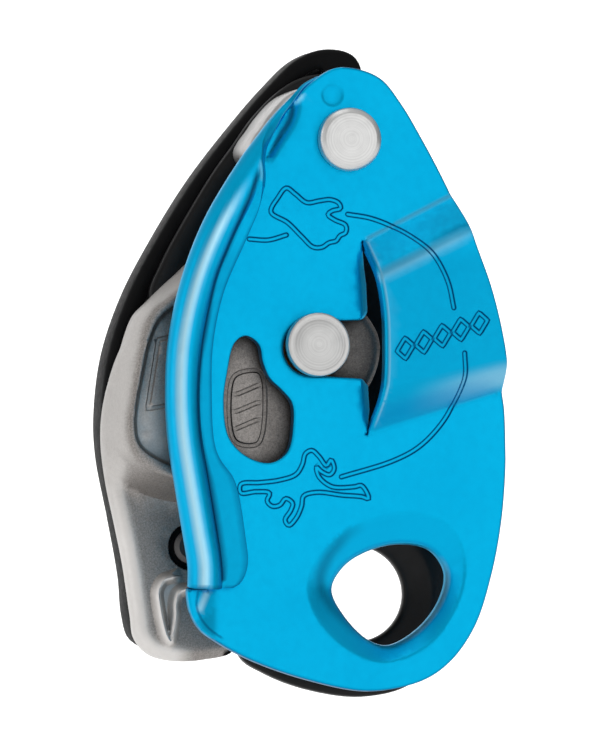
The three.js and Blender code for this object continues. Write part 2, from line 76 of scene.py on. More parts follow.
PIVOT = joint_place("plate_swing")
AXLE = joint_place("cam_swing")
HANDLE_PIVOT = joint_place("handle_fold")
SHEET = 2.0
CHANNEL = 13.0
CHANNEL_BACK = depth_range("fixed_side_plate")[0]
CHANNEL_FRONT = CHANNEL_BACK - CHANNEL
CHANNEL_MIDDLE = (CHANNEL_FRONT + CHANNEL_BACK) / 2
PLATE_FRONT = CHANNEL_FRONT - SHEET
LOUVER_RISE = PLATE_FRONT - depth_range("moving_side_plate")[0]
FIXED_BACK = CHANNEL_BACK + 2.5
HANDLE_FRONT, HANDLE_BACK = depth_range("handle_grip")

# ------------ curves and distances in the plane of the plates


def even(points, spacing, closed):
    """Evenly spaced points along a polyline."""
    pts = np.asarray(points, float)
    if closed:
        pts = np.vstack([pts, pts[:1]])
    lengths = np.linalg.norm(np.diff(pts, axis=0), axis=1)
    total = np.concatenate([[0], np.cumsum(lengths)])
    count = max(int(round(total[-1] / spacing)), 3)
    at = np.linspace(0, total[-1], count + 1)
    out = np.column_stack([np.interp(at, total, pts[:, k]) for k in range(pts.shape[1])])
    return out[:-1] if closed else out


def curve(points, spacing, closed=True):
    """Evenly spaced points along a centripetal Catmull-Rom curve through the given points."""
    pts = np.asarray(points, float)
    count = len(pts)
    dense = []
    for i in range(count if closed else count - 1):
        p1 = pts[i]
        p2 = pts[(i + 1) % count]
        p0 = pts[i - 1] if closed or i > 0 else 2 * p1 - p2
        p3 = pts[(i + 2) % count] if closed or i + 2 < count else 2 * p2 - p1
        t1 = math.sqrt(np.linalg.norm(p1 - p0))
        t2 = t1 + math.sqrt(np.linalg.norm(p2 - p1))
        t3 = t2 + math.sqrt(np.linalg.norm(p3 - p2))
        for t in np.linspace(t1, t2, 16, endpoint=False):
            a1 = (t1 - t) / t1 * p0 + t / t1 * p1
            a2 = (t2 - t) / (t2 - t1) * p1 + (t - t1) / (t2 - t1) * p2
            a3 = (t3 - t) / (t3 - t2) * p2 + (t - t2) / (t3 - t2) * p3
            b1 = (t2 - t) / t2 * a1 + t / t2 * a2
            b2 = (t3 - t) / (t3 - t1) * a2 + (t - t1) / (t3 - t1) * a3
            dense.append((t2 - t) / (t2 - t1) * b1 + (t - t1) / (t2 - t1) * b2)
    if not closed:
        dense.append(pts[-1])
    return even(dense, spacing, closed)


def arc(centre, radius, start, end, spacing=0.5):
    """Points along a circle's arc, angles in degrees from +X towards +Z."""
    count = max(int(abs(math.radians(end - start)) * radius / spacing), 3)
    angles = np.radians(np.linspace(start, end, count + 1))
    return np.column_stack([centre[0] + radius * np.cos(angles), centre[1] + radius * np.sin(angles)])


def circle(centre, radius, spacing=0.5):
    return arc(centre, radius, 0, 360, spacing)[:-1]


def normals(loop, closed=True):
    """Unit normals to the left of a path."""
    if closed:
        ahead, behind = np.roll(loop, -1, axis=0), np.roll(loop, 1, axis=0)
    else:
        ahead = np.vstack([loop[1:], loop[-1:]])
        behind = np.vstack([loop[:1], loop[:-1]])
    way = ahead - behind
    way /= np.linalg.norm(way, axis=1)[:, None] + TINY
    return np.column_stack([-way[:, 1], way[:, 0]])


def area(loop):
    return 0.5 * np.sum(loop[:, 0] * np.roll(loop[:, 1], -1) - np.roll(loop[:, 0], -1) * loop[:, 1])


def inside(points, loop):
    x, z = points[:, 0:1], points[:, 1:2]
    ax, az = loop[:, 0], loop[:, 1]
    bx, bz = np.roll(ax, -1), np.roll(az, -1)
    crosses = (az > z) != (bz > z)
    with np.errstate(divide="ignore", invalid="ignore"):
        at = ax + (z - az) * (bx - ax) / (bz - az)
    return (np.sum(crosses & (x < at), axis=1) % 2) == 1


def distance(points, path, closed=True):
    """Distance from each point to a polyline."""
    starts = path
    ends = np.roll(path, -1, axis=0)
    if not closed:
        starts, ends = starts[:-1], ends[:-1]
    best = np.full(len(points), np.inf)
    way = ends - starts
    square = np.sum(way * way, axis=1) + TINY
    for chunk in range(0, len(points), CHUNK):
        part = points[chunk : chunk + CHUNK]
        offset = part[:, None, :] - starts[None]
        t = np.clip(np.sum(offset * way, axis=2) / square, 0, 1)
        gap = np.linalg.norm(offset - t[:, :, None] * way, axis=2)
        best[chunk : chunk + CHUNK] = gap.min(axis=1)
    return best


def signed(points, loop):
    """Distance to a closed outline, positive inside it."""
    gap = distance(points, loop)
    return np.where(inside(points, loop), gap, -gap)


def smooth(t):
    t = np.clip(t, 0, 1)
    return t * t * (3 - 2 * t)


def band(value, middle, width):
    """1 at a middle value, falling to 0 at a width from it."""
    return smooth(1 - np.abs(value - middle) / width)


def along(points, path, width):
    """1 on an open path, falling to 0 at a width from it."""
    return smooth(1 - distance(points, path, closed=False) / width)


def ramp(t, foot, shoulder):
    """A straight ramp from 0 to 1 with rounded ends."""
    t = np.asarray(t, float)
    out = np.clip(t, 0, 1)
    low = np.abs(t) < foot
    out = np.where(low, (t + foot) ** 2 / (4 * foot), out)
    high = np.abs(t - 1) < shoulder
    return np.where(high, 1 - (1 + shoulder - t) ** 2 / (4 * shoulder), out)


def rounding(gap, radius):
    """How far a rounded edge has fallen, at a distance in from the edge."""
    d = np.clip(gap, 0, radius)
    return radius - np.sqrt(np.maximum(radius**2 - (radius - d) ** 2, 0))


# ------------ mesh builders
EDGE_GAP = 0.06
MERGE_GAP = 0.07
LATTICE_GAP = 0.6
ROW_RATIO = 0.866


def new_object(name, vertices, faces, sharp=38):
    mesh = bpy.data.meshes.new(name)
    mesh.from_pydata([tuple(v) for v in vertices], [], [tuple(f) for f in faces])
    mesh.validate()
    mesh.update()
    piece = bpy.data.objects.new(name, mesh)
    bpy.context.scene.collection.objects.link(piece)
    shade(piece, sharp)
    return piece


def shade(piece, sharp=38):
    mesh = piece.data
    mesh.polygons.foreach_set("use_smooth", [True] * len(mesh.polygons))
    mesh.set_sharp_from_angle(angle=math.radians(sharp))
    mesh.update()


def nearest(points, others):
    """Distance from each point to the nearest of the others."""
    chunks = [points[k : k + 2000] for k in range(0, len(points), 2000)]
    return np.concatenate([np.linalg.norm(c[:, None] - others[None], axis=2).min(axis=1) for c in chunks])


def thinned(points, others, gap):
    """The points that keep a distance from all the others."""
    if len(others) == 0 or len(points) == 0:
        return points
    return points[nearest(points, others) > gap]


def relief(name, outline, holes, front, back, spacing, insets, guides=()):
    """A closed sheet or block over an outline with holes; front and back give its depth at each point.

    Points follow the outlines, rings just inside them and the guide paths, with an even lattice between."""
    loops = [outline if area(outline) > 0 else outline[::-1]]
    loops += [h if area(h) < 0 else h[::-1] for h in holes]
    rings = []
    for loop in loops:
        normal = normals(loop)
        for inset in insets:
            ring = loop + normal * inset
            rings.append(ring[distance(ring, loop) > 0.93 * inset])
    lines = [np.asarray(g) for g in guides]
    followed = np.vstack(lines + rings) if lines or rings else np.zeros((0, 2))

    def in_material(points, margin):
        keep = inside(points, loops[0])
        for hole in loops[1:]:
            keep &= ~inside(points, hole)
        for loop in loops:
            keep &= distance(points, loop) > margin
        return points[keep]

    followed = in_material(followed, EDGE_GAP)
    order = np.unique(np.round(followed / MERGE_GAP).astype(int), axis=0, return_index=True)[1]
    followed = followed[np.sort(order)]
    low, high = loops[0].min(axis=0), loops[0].max(axis=0)
    lattice = []
    for k, z in enumerate(np.arange(low[1], high[1], spacing * ROW_RATIO)):
        lattice += [(x, z) for x in np.arange(low[0] + (k % 2) * spacing / 2, high[0], spacing)]
    lattice = in_material(np.array(lattice), LATTICE_GAP * spacing)
    lattice = thinned(lattice, followed, LATTICE_GAP * spacing)
    edges = []
    start = 0
    for loop in loops:
        edges += [(start + i, start + (i + 1) % len(loop)) for i in range(len(loop))]
        start += len(loop)
    points = np.vstack(loops + [followed, lattice])
    made = delaunay_2d_cdt([Vector(p) for p in points], edges, [], 0, 1e-5)
    plan = np.array([tuple(v) for v in made[0]])
    triangles = np.array([f for f in made[2] if len(f) == 3])
    centres = plan[triangles].mean(axis=1)
    keep = inside(centres, loops[0])
    for hole in loops[1:]:
        keep &= ~inside(centres, hole)
    triangles = triangles[keep]
    corners = plan[triangles]
    turn = np.cross(corners[:, 1] - corners[:, 0], corners[:, 2] - corners[:, 0])
    triangles[turn < 0] = triangles[turn < 0][:, ::-1]
    triangles = triangles[np.abs(turn) > 1e-7]
    used = np.unique(triangles)
    index = np.full(len(plan), -1)
    index[used] = np.arange(len(used))
    plan = plan[used]
    triangles = index[triangles]
    count = len(plan)
    vertices = np.vstack([np.column_stack([plan[:, 0], side(plan), plan[:, 1]]) for side in (front, back)])
    directed = {edge: True for a, b, c in triangles for edge in ((a, b), (b, c), (c, a))}
    border = [(a, b) for (a, b) in directed if (b, a) not in directed]
    faces = [tuple(t) for t in triangles]
    faces += [(a + count, c + count, b + count) for a, b, c in triangles]
    faces += [(b, a, a + count, b + count) for a, b in border]
    return new_object(name, vertices * MM, faces)


def skin(name, rows, sharp=38):
    """A closed surface over rows of points. Every row is a closed ring; the first and last are capped."""
    rows = np.asarray(rows)
    count, width = rows.shape[:2]
    faces = []
    for r in range(count - 1):
        for i in range(width):
            j = (i + 1) % width
            faces.append((r * width + i, r * width + j, (r + 1) * width + j, (r + 1) * width + i))
    faces.append(tuple(range(width - 1, -1, -1)))
    faces.append(tuple((count - 1) * width + i for i in range(width)))
    return facing_out(new_object(name, rows.reshape(-1, 3) * MM, faces, sharp), sharp)


def facing_out(piece, sharp=38):
    bm = bmesh.new()
    bm.from_mesh(piece.data)
    bmesh.ops.triangulate(bm, faces=[f for f in bm.faces if len(f.verts) > 4])
    bmesh.ops.recalc_face_normals(bm, faces=bm.faces)
    bm.to_mesh(piece.data)
    bm.free()
    shade(piece, sharp)
    return piece


def turned(name, centre, profile, facets=96):
    """A solid of revolution about an axis along Y; its profile is (radius, depth) from axis to axis."""
    angles = np.linspace(0, 2 * math.pi, facets, endpoint=False)
    inner = profile[1:-1]
    vertices = [(centre[0], profile[0][1], centre[1])]
    for radius, depth in inner:
        for a in angles:
            vertices.append((centre[0] + radius * math.cos(a), depth, centre[1] + radius * math.sin(a)))
    vertices.append((centre[0], profile[-1][1], centre[1]))
    faces = []
    last = len(vertices) - 1
    end = last - facets
    for i in range(facets):
        j = (i + 1) % facets
        faces.append((0, 1 + i, 1 + j))
        for a in range(1, end, facets):
            faces.append((a + i, a + facets + i, a + facets + j, a + j))
        faces.append((last, end + j, end + i))
    return facing_out(new_object(name, np.array(vertices) * MM, faces))


def combine(piece, other, operation):
    """Joins or cuts with another piece and removes that piece."""
    modifier = piece.modifiers.new("combine", "BOOLEAN")
    modifier.operation = operation
    modifier.object = other
    modifier.solver = "EXACT"
    bpy.context.view_layer.update()
    graph = bpy.context.evaluated_depsgraph_get()
    mesh = bpy.data.meshes.new_from_object(piece.evaluated_get(graph))
    piece.modifiers.remove(modifier)
    old = piece.data
    piece.data = mesh
    bpy.data.meshes.remove(old)
    bpy.data.objects.remove(other)
    shade(piece)
    return piece


def mark(piece, name, values):
    """Stores a number at each vertex for the material to read."""
    attribute = piece.data.attributes.new(name, "FLOAT", "POINT")
    attribute.data.foreach_set("value", np.asarray(values, np.float32))


def plan_of(piece):
    """Every vertex as (x, z) and depth, in millimetres."""
    co = np.zeros(len(piece.data.vertices) * 3)
    piece.data.vertices.foreach_get("co", co)
    co = co.reshape(-1, 3) / MM
    return co[:, [0, 2]], co[:, 1]


# ------------ moving side plate: outlines
LIP_RADIUS = 2.65
right_side = [
    (3.0, 42.45), (6.6, 42.4), (10.3, 40.9), (13.4, 37.2), (16.8, 31.6), (19.8, 26.1), (21.5, 22.6),
    (23.1, 18.4), (24.2, 15.2), (26.3, 9.5), (27.7, 4.4), (28.7, -0.6), (29.1, -4.2), (29.2, -6.6),
    (29.6, -9.5), (29.8, -15.4), (29.8, -18.5), (29.2, -26.2), (27.7, -34.4), (25.0, -42.7),
    (21.1, -48.2), (16.6, -51.2), (8.4, -52.8), (-1.4, -51.1), (-10.3, -48.1), (-15.9, -45.2),
    (-18.2, -43.7), (-19.6, -41.6), (-20.2, -39.2), (-20.15, -37.4), (-18.3, -37.15),
]
lip_silhouette = [
    (-20.2, -37.1), (-20.2, -34), (-21.0, -29.0), (-22.2, -22), (-23.4, -14), (-23.7, -6.8), (-23.2, 0.8),
    (-21.2, 9.9), (-17.6, 19.1), (-12.1, 28.2), (-9.8, 31.3), (-6.9, 35.0), (-3.6, 38.3), (-1.6, 40.0),
    (0.7, 41.1),
]
flap_edge = [
    (-20.2, -37.6), (-14.6, -37.5), (-12.2, -36.7), (-10.9, -34.0), (-11.3, -29), (-12.4, -22.5),
    (-13.2, -20.3), (-15.2, -17.6), (-16.1, -15.0), (-16.5, -8.2), (-16.3, -0.2), (-14.6, 7.9),
    (-11.1, 16), (-9.1, 21), (-8.75, 23.6), (-8.6, 25.6), (-8.8, 28.1), (-8.65, 28.9), (-8.2, 30.9),
    (-7.0, 33.2), (-4.0, 38.0),
]
kidney = [
    (-10.9, 1.3), (-12.6, 0.2), (-13.7, -4), (-14.3, -9), (-13.4, -14.4), (-10.5, -17.2), (-6.9, -18.0),
    (-4.4, -16.3), (-3.5, -12), (-3.7, -8.9), (-5.2, -7), (-7.2, -5.1), (-8.3, -2.6), (-8.9, 0),
]
eye = [
    (3.2, -37.2), (4.9, -33.9), (8.2, -31.6), (13.4, -30.2), (18.4, -31.0), (20.8, -34.3), (20.1, -38.4),
    (16.8, -42.9), (12.0, -45.6), (8.9, -44.8), (5.0, -41.0),
]
dish = [
    (-1.6, -37.0), (0.4, -32.2), (4.8, -28.1), (10.0, -26.0), (15.5, -25.4), (21.0, -27.4), (23.4, -32.4),
    (22.6, -38.5), (18.0, -45.5), (10.6, -48.5), (4.6, -46.5), (0, -42.0),
]
groove_line = [
    (-14.7, -37.3), (-15.3, -32), (-16.8, -22.3), (-18.6, -12.6), (-18.6, -4.8), (-17.2, 4), (-16, 10.1),
    (-14.2, 14.5), (-12.4, 18.8), (-10.7, 23.0), (-10.05, 25.1), (-9.7, 27.0),
]
MOUTH_TOP = (7.3, 16.0)
MOUTH_FOOT = (8.1, -13.6)


def upper_crease(x):
    return 16.0 + 0.52 * (x - 7.3)


def upper_shoulder(x):
    return 11.3 + 0.5 * (x - 9.6)


def lower_crease(x):
    return -13.6 + 0.32 * (x - 8.1)


def lower_shoulder(x):
    return -7.9 + 0.26 * (x - 9.6)


def mouth_line(z):
    """Where the sheet was slit: the left side of the louver's mouth."""
    return np.interp(z, (-13.6, -9.6, -6.0, 5.3, 9.6, 16.0), (8.1, 8.7, 8.5, 8.4, 8.2, 7.3))


def louver_rise(p):
    x, z = p[:, 0], p[:, 1]
    up = (upper_crease(x) - z) / (upper_crease(x) - upper_shoulder(x))
    down = (z - lower_crease(x)) / (lower_shoulder(x) - lower_crease(x))
    rise = LOUVER_RISE * ramp(up, 0.1, 0.28) * ramp(down, 0.1, 0.3)
    return np.where(x > mouth_line(z) + 0.02, rise, 0)


# Open slot and louver mouth, as one opening.
slot_left = arc((-0.9, -0.5), 4.1, 92, 268, 0.5)
mouth_lip = [
    MOUTH_FOOT, (8.5, -11.5), (9.1, -8.4), (9.6, -5.2), (9.7, 0.5), (9.55, 4.6), (9.1, 8.0), (8.3, 11.6),
    (7.6, 14.6), MOUTH_TOP,
]
opening = np.vstack(
    [
        even(slot_left, 0.5, False),
        even([(0, -4.6), (7.4, -5.0), (8.5, -6.0), (8.7, -9.6), MOUTH_FOOT], 0.45, False)[1:],
        curve(mouth_lip, 0.45, False)[1:],
        even([MOUTH_TOP, (8.2, 9.6), (8.4, 5.3), (7.9, 4.3), (7.1, 3.9), (0, 3.6)], 0.45, False)[1:-1],
    ]
)

# ------------ engraved lines
ENGRAVED_HALF = 0.24
ENGRAVED_WALL = 0.13
ENGRAVED_DEPTH = 0.18
ENGRAVED_GUIDES = (0.1, ENGRAVED_HALF, ENGRAVED_HALF + ENGRAVED_WALL, ENGRAVED_HALF + 2 * ENGRAVED_WALL)
hand = [
    (-7.0, 20.3), (-5.9, 22.5), (-4.6, 24.0), (-3.2, 23.1), (-1.4, 21.8), (0.6, 22.1), (2.3, 22.3),
    (3.6, 21.8), (3.9, 21.0), (2.6, 20.6), (1.9, 20.0), (3.0, 19.2), (4.7, 18.4), (4.7, 17.3),
    (3.8, 16.8), (3.2, 16.0), (2.1, 15.7), (1.0, 15.0), (-0.4, 15.0), (-2.2, 16.6), (-4.4, 18.7),
]
figure = [
    (-11.7, -21.4), (-8.7, -21.1), (-5.7, -20.7), (-3.1, -19.8), (-2.1, -18.3), (-1.6, -16.6),
    (-0.6, -16.1), (0.5, -17.0), (1.7, -18.4), (2.4, -17.5), (2.9, -18.9), (2.2, -19.8), (0.9, -19.3),
    (0.1, -18.6), (0.5, -20.1), (2.5, -21.6), (6.0, -21.6), (7.2, -21.4), (8.3, -23.4), (7.2, -23.1),
    (4.2, -22.9), (0.2, -22.5), (-1.9, -23.1), (-2.2, -24.6), (-3.0, -26.4), (-4.2, -27.6), (-4.8, -26.8),
    (-3.9, -25.3), (-3.6, -24.2), (-4.7, -23.5), (-5.6, -24.5), (-6.8, -24.7), (-7.6, -23.9),
    (-7.2, -22.7), (-9.3, -22.5), (-11.7, -22.7),
]
rope_ends = [
    [(-10.4, 16.1), (-7.4, 16.0), (-4.6, 16.8)],
    [(5.0, 20.1), (8.7, 19.5), (12.5, 18.0), (15.4, 15.8), (17.7, 13.3), (19.6, 9.6), (20.5, 5.7)],
    [(22.2, -1.2), (22.3, -5.3), (21.2, -9.3), (19.2, -12.4), (16, -15.5), (12.0, -17.6), (4.0, -20.1)],
]
LOZENGES = 5
FIRST_LOZENGE = (12.9, -0.6)
LOZENGE_STEP = (2.9, 1.0)
diamond = np.array([(-1.3, -0.45), (0.05, -1.6), (1.3, 0.45), (-0.05, 1.6)])
engraved = [(curve(loop, 0.3), True) for loop in (hand, figure)]
for number in range(LOZENGES):
    middle = [first + number * step for first, step in zip(FIRST_LOZENGE, LOZENGE_STEP)]
    engraved.append((even(diamond + middle, 0.3, True), True))
engraved += [(curve(path, 0.3, False), False) for path in rope_ends]


def engraving(p):
    """(depth, wall mask) of the engraved lines."""
    deep = np.zeros(len(p))
    wall = np.zeros(len(p))
    for path, closed in engraved:
        low, high = path.min(axis=0) - 1, path.max(axis=0) + 1
        near = np.all((p > low) & (p < high), axis=1)
        if not near.any():
            continue
        gap = distance(p[near], path, closed)
        t = (ENGRAVED_HALF + ENGRAVED_WALL - gap) / ENGRAVED_WALL
        deep[near] = np.maximum(deep[near], ENGRAVED_DEPTH * np.clip(t, 0, 1))
        centre = ENGRAVED_HALF + ENGRAVED_WALL / 2
        wall[near] = np.maximum(wall[near], np.clip(1.5 - np.abs(gap - centre) / ENGRAVED_WALL, 0, 1))
    return deep, wall


def engraving_guides():
    lines = []
    for path, closed in engraved:
        normal = normals(path, closed)
        for side in (-1, 1):
            for gap in ENGRAVED_GUIDES:
                line = path + side * normal * gap
                lines.append(line[distance(line, path, closed) > 0.9 * gap])
        if not closed:
            for end, other in ((path[0], path[1]), (path[-1], path[-2])):
                out = (end - other) / np.linalg.norm(end - other)
                side = np.array([-out[1], out[0]])
                turn = np.radians(np.linspace(-80, 80, 7))[:, None]
                lines += [end + gap * (np.cos(turn) * out + np.sin(turn) * side) for gap in ENGRAVED_GUIDES]
    return lines


# ------------ moving side plate: sheet
plate_inset = [(x + LIP_RADIUS, z) for x, z in lip_silhouette[:-5]]
shoulder = [(-8.0, 29.9), (-5.7, 33.9), (-3.0, 37.8), (-1.0, 39.9)]
plate_outline = curve(right_side + plate_inset + shoulder, 0.55)
kidney_loop = curve(kidney, 0.45)
eye_loop = curve(eye, 0.45)
dish_loop = curve(dish, 0.6)
DISH_DEPTH = 2.4
HOLLOW_WIDTH = 1.4
pivot_hole = circle(PIVOT, 3.6, 0.6)
hollow_line = [(-3.4, 36.6), (-4.0, 34.4), (-5.5, 32.0), (-6.6, 30.3), (-7.4, 29.0)]
hollow_path = curve(hollow_line, 0.5, closed=False)
hollow = [
    (-7.5, 28.7), (-6.3, 31.5), (-4.4, 34.5), (-3.5, 37.2), (-3.2, 36.0), (-3.7, 34.1), (-5.0, 32.1),
    (-6.1, 30.5),
]
hollow_loop = curve(hollow, 0.4)
fold = [(-18.7, -38.0), (-18.95, -39.8), (-18.4, -41.6), (-16.9, -43.4), (-14.8, -44.8)]
fold_path = curve(fold, 0.4, closed=False)
DIMPLE = np.array([2.6, 38.3])
EYE_MIDDLE = np.array([11.7, -37.4])
SHOULDER_GLINT = np.array([(-3.0, 37.4), (-2.3, 38.1)])
CORNER_GLINT = np.array([(-18.3, -40.5), (-17.3, -38.2)])
FLAP_GLINT = np.array([(-9.45, 27.4), (-9.2, 25.4)])


def sheet_depth(p):
    """Mid-shape of the sheet, without edges and engraving."""
    y = np.full(len(p), PLATE_FRONT) - louver_rise(p)
    d_eye = distance(p, eye_loop)
    d_dish = distance(p, dish_loop)
    within = inside(p, dish_loop)
    across = np.where(within, d_dish / (d_dish + d_eye + 1e-9), 0)
    across = np.where(inside(p, eye_loop), 1, across)
    y += DISH_DEPTH * ramp(across, 0.16, 0.3) / ramp(1.0, 0.16, 0.3)
    # the sheet dips towards the slit on the plate's side of the mouth
    x, z = p[:, 0], p[:, 1]
    beside = mouth_line(z) - x
    window = smooth((16 - z) / 5) * smooth((z + 13.5) / 5)
    y += np.where(x <= mouth_line(z) + 0.02, 0.9 * window * smooth(1 - beside / 1.5), 0)
    # beside the lip's upper end the sheet is drawn in, and below its lower end the edge turns up
    y += 0.65 * along(p, hollow_path, HOLLOW_WIDTH)
    y -= 1.5 * smooth((-14.6 - x) / 5.0) * smooth((-37.25 - z) / 0.3)
    return y


def plate_front_depth(p):
    y = sheet_depth(p)
    y += rounding(distance(p, plate_outline), 0.3)
    y += rounding(distance(p, kidney_loop), 0.35)
    d = distance(p, opening)
    y += np.where(p[:, 0] > mouth_line(p[:, 1]) + 0.02, rounding(d, 0.9), rounding(d, 0.45))
    y += 1.1 * rounding(distance(p, eye_loop), 1.0)
    y += rounding(distance(p, pivot_hole), 0.3)
    y += engraving(p)[0]
    d = np.linalg.norm(p - DIMPLE, axis=1)
    y += 0.25 * smooth((1.8 - d) / 0.45)
    return y


def plate_back_depth(p):
    y = sheet_depth(p) + SHEET - rounding(distance(p, plate_outline), 0.3)
    return y - rounding(distance(p, eye_loop), 0.4)


def crease_guides():
    lines = []
    xs = np.arange(7.6, 30, 0.7)
    for f in (-0.1, 0, 0.1, 0.35, 0.6, 0.72, 0.86, 1.0, 1.14, 1.28, 1.42):
        for crease, top in ((upper_crease, upper_shoulder), (lower_crease, lower_shoulder)):
            lines.append(np.column_stack([xs, crease(xs) + f * (top(xs) - crease(xs))]))
    n_dish = normals(dish_loop)
    for step in (0.4, 0, -0.4):
        lines.append(dish_loop - n_dish * step)
    matched = even(eye_loop, 0.7, True)
    n_eye = normals(matched) * (1 if area(matched) < 0 else -1)
    for step in (1.0, 1.5, 2.1, 2.7, 3.3, 3.9, 4.5):
        lines.append(matched + n_eye * step)
    for glint in (SHOULDER_GLINT, CORNER_GLINT):
        path = even(glint, 0.3, False)
        lines += [path + normals(path, closed=False) * step for step in (-0.9, -0.6, -0.3, 0, 0.3, 0.6, 0.9)]
    lines += [hollow_loop + normals(hollow_loop) * step for step in (-0.25, 0, 0.25)]
    n_fold = normals(fold_path, closed=False)
    lines += [fold_path + n_fold * step for step in (-0.3, -0.1, 0.1, 0.3)]
    for radius in (1.3, 1.55, 1.8, 2.0):
        lines.append(circle(DIMPLE, radius, 0.35))
    for offset in (0.2, 0.5, 0.9, 1.4):
        zs = np.arange(-13, 16, 0.6)
        lines.append(np.column_stack([mouth_line(zs) - offset, zs]))
    side = normals(hollow_path, closed=False)
    for offset in (0, 0.5, 1.0, 1.4):
        lines += [hollow_path + side * offset, hollow_path - side * offset]
    zs = np.arange(-46, -37.6, 0.5)
    for x in (-19.6, -19.1, -18.6, -18.0, -17.4, -16.7, -16.0, -15.3, -14.7):
        lines.append(np.column_stack([np.full(len(zs), x), zs]))
    return lines


plate = relief(
    "side_plate_sheet",
    plate_outline,
    [kidney_loop, eye_loop, opening, pivot_hole],
    plate_front_depth,
    plate_back_depth,
    spacing=1.4,
    insets=(0.07, 0.2, 0.45, 0.75, 1.0),
    guides=engraving_guides() + crease_guides(),
)

# ------------ moving side plate: rolled lip
FULL_THICKNESS = SHEET - 0.04
ROLL_STEPS = 22
BEND_STEPS = 6
BEND_RADIUS = 1.1
FLAP_STEPS = 4
FLAP_LEAST = 0.05
TIP_LENGTH = 0.2


def unit(degrees):
    return np.array([math.cos(math.radians(degrees)), math.sin(math.radians(degrees))])


def hook(turn, reverse, reach, start, thickness):
    """Section of the rolled edge, as (across, depth) points round the sheet.

    It curls by turn degrees to the front, bends back by reverse degrees and runs on flat to its reach."""
    half = thickness / 2
    mid_y = PLATE_FRONT + SHEET - 0.02 - half
    roll_mid = LIP_RADIUS - half
    steps = [(start + 0.5, mid_y, 180.0), (start + 0.25, mid_y, 180.0)]
    for k in range(ROLL_STEPS + 1):
        a = math.radians(turn * k / ROLL_STEPS)
        x = start - roll_mid * math.sin(a)
        y = mid_y - roll_mid * (1 - math.cos(a))
        steps.append((x, y, 180.0 + turn * k / ROLL_STEPS))
    heading = 180.0 + turn
    length = BEND_RADIUS * math.radians(max(reverse, 0.01)) / BEND_STEPS
    for k in range(1, BEND_STEPS + 1):
        middle = unit(heading - reverse * (k - 0.5) / BEND_STEPS)
        x += length * middle[0]
        y += length * middle[1]
        steps.append((x, y, heading - reverse * k / BEND_STEPS))
    heading -= reverse
    ahead = unit(heading)
    flap = max((reach - TIP_LENGTH - x) / ahead[0], FLAP_LEAST) if ahead[0] > 0.5 else FLAP_LEAST
    for k in range(1, FLAP_STEPS + 1):
        f = flap * k / FLAP_STEPS
        steps.append((x + f * ahead[0], y + f * ahead[1], heading))
    outer = [np.array([a, b]) + half * unit(h - 90) for a, b, h in steps]
    inner = [np.array([a, b]) - half * unit(h - 90) for a, b, h in steps]
    # rounded cut edge
    tip = np.array(steps[-1][:2])
    side = unit(heading - 90)
    edge = [
        tip + ahead * (TIP_LENGTH - 0.06) + side * (half - 0.03),
        tip + ahead * TIP_LENGTH + side * (half - 0.15),
        tip + ahead * TIP_LENGTH - side * (half - 0.15),
        tip + ahead * (TIP_LENGTH - 0.06) - side * (half - 0.03),
    ]
    return outer + edge + inner[::-1]


def across_to(point, inward, path):
    """Distance from a point, along a direction, to where a polyline last crosses it; 0 if it doesn't."""
    rel = path - point
    s = rel @ np.array([-inward[1], inward[0]])
    a = rel @ inward
    best = 0
    for k in range(len(path) - 1):
        if (s[k] <= 0) != (s[k + 1] <= 0):
            best = max(best, a[k] + s[k] / (s[k] - s[k + 1]) * (a[k + 1] - a[k]))
    return best


# Tables over height: how far the edge turns, how far it bends back, and its thickness.
LIP_TURNS = (
    [-40, 19, 22.5, 24.5, 26, 27.1, 28.3, 29.3, 30.3, 31.8, 33.8, 35.7, 37.5, 39, 40.2, 41.2],
    [258, 258, 250, 238, 222, 203, 188, 163, 145, 133, 115, 102, 92, 62, 35, 5],
)
LIP_REVERSES = ([-40, 19, 22.5, 24.5, 26, 27.1, 28.3, 29.3, 30.3], [78, 78, 74, 68, 60, 50, 37, 16, 0])
LIP_THICKNESSES = ([-40, 30.5, 33.8, 35.7, 38, 40], [FULL_THICKNESS, FULL_THICKNESS, 1.45, 1.0, 0.7, 0.6])
lip_path = curve(lip_silhouette, 0.6, closed=False)
reach_path = curve(flap_edge, 0.5, closed=False)
lip_rows = []
for p, n in zip(lip_path, -normals(lip_path, closed=False)):
    tables = (LIP_TURNS, LIP_REVERSES, LIP_THICKNESSES)
    turn, reverse, thickness = (np.interp(p[1], *table) for table in tables)
    start = LIP_RADIUS * math.sin(math.radians(min(turn, 90)))
    near_end = math.exp(-(p[1] - lip_silhouette[0][1]) / 1.2)
    row = []
    for a, y in hook(turn, reverse, across_to(p, n, reach_path), start, thickness):
        bulge = 0.5 * near_end * smooth((PLATE_FRONT - y) / 3.5)
        row.append((p[0] + n[0] * a, y, p[1] + n[1] * a - bulge))
    lip_rows.append(row)
lip_rows = np.array(lip_rows)
lip = skin("lip", lip_rows, sharp=45)
plate = combine(plate, lip, "UNION")
plate.name = "side_plate"
plan, depth = plan_of(plate)
x, z = plan[:, 0], plan[:, 1]
TUBE_DEPTH = PLATE_FRONT + SHEET - LIP_RADIUS
VIEW_SIDE = np.array([0.976, -0.216])
silhouette_path = curve(lip_silhouette, 0.4, closed=False)
flap_path = curve(flap_edge, 0.4, closed=False)
groove_path = curve(groove_line, 0.4, closed=False)
in_from_edge = distance(plan, silhouette_path, closed=False)
to_opening = distance(plan, opening)
to_eye = distance(plan, eye_loop)
surface = sheet_depth(plan)
front_side = depth < surface + 0.7

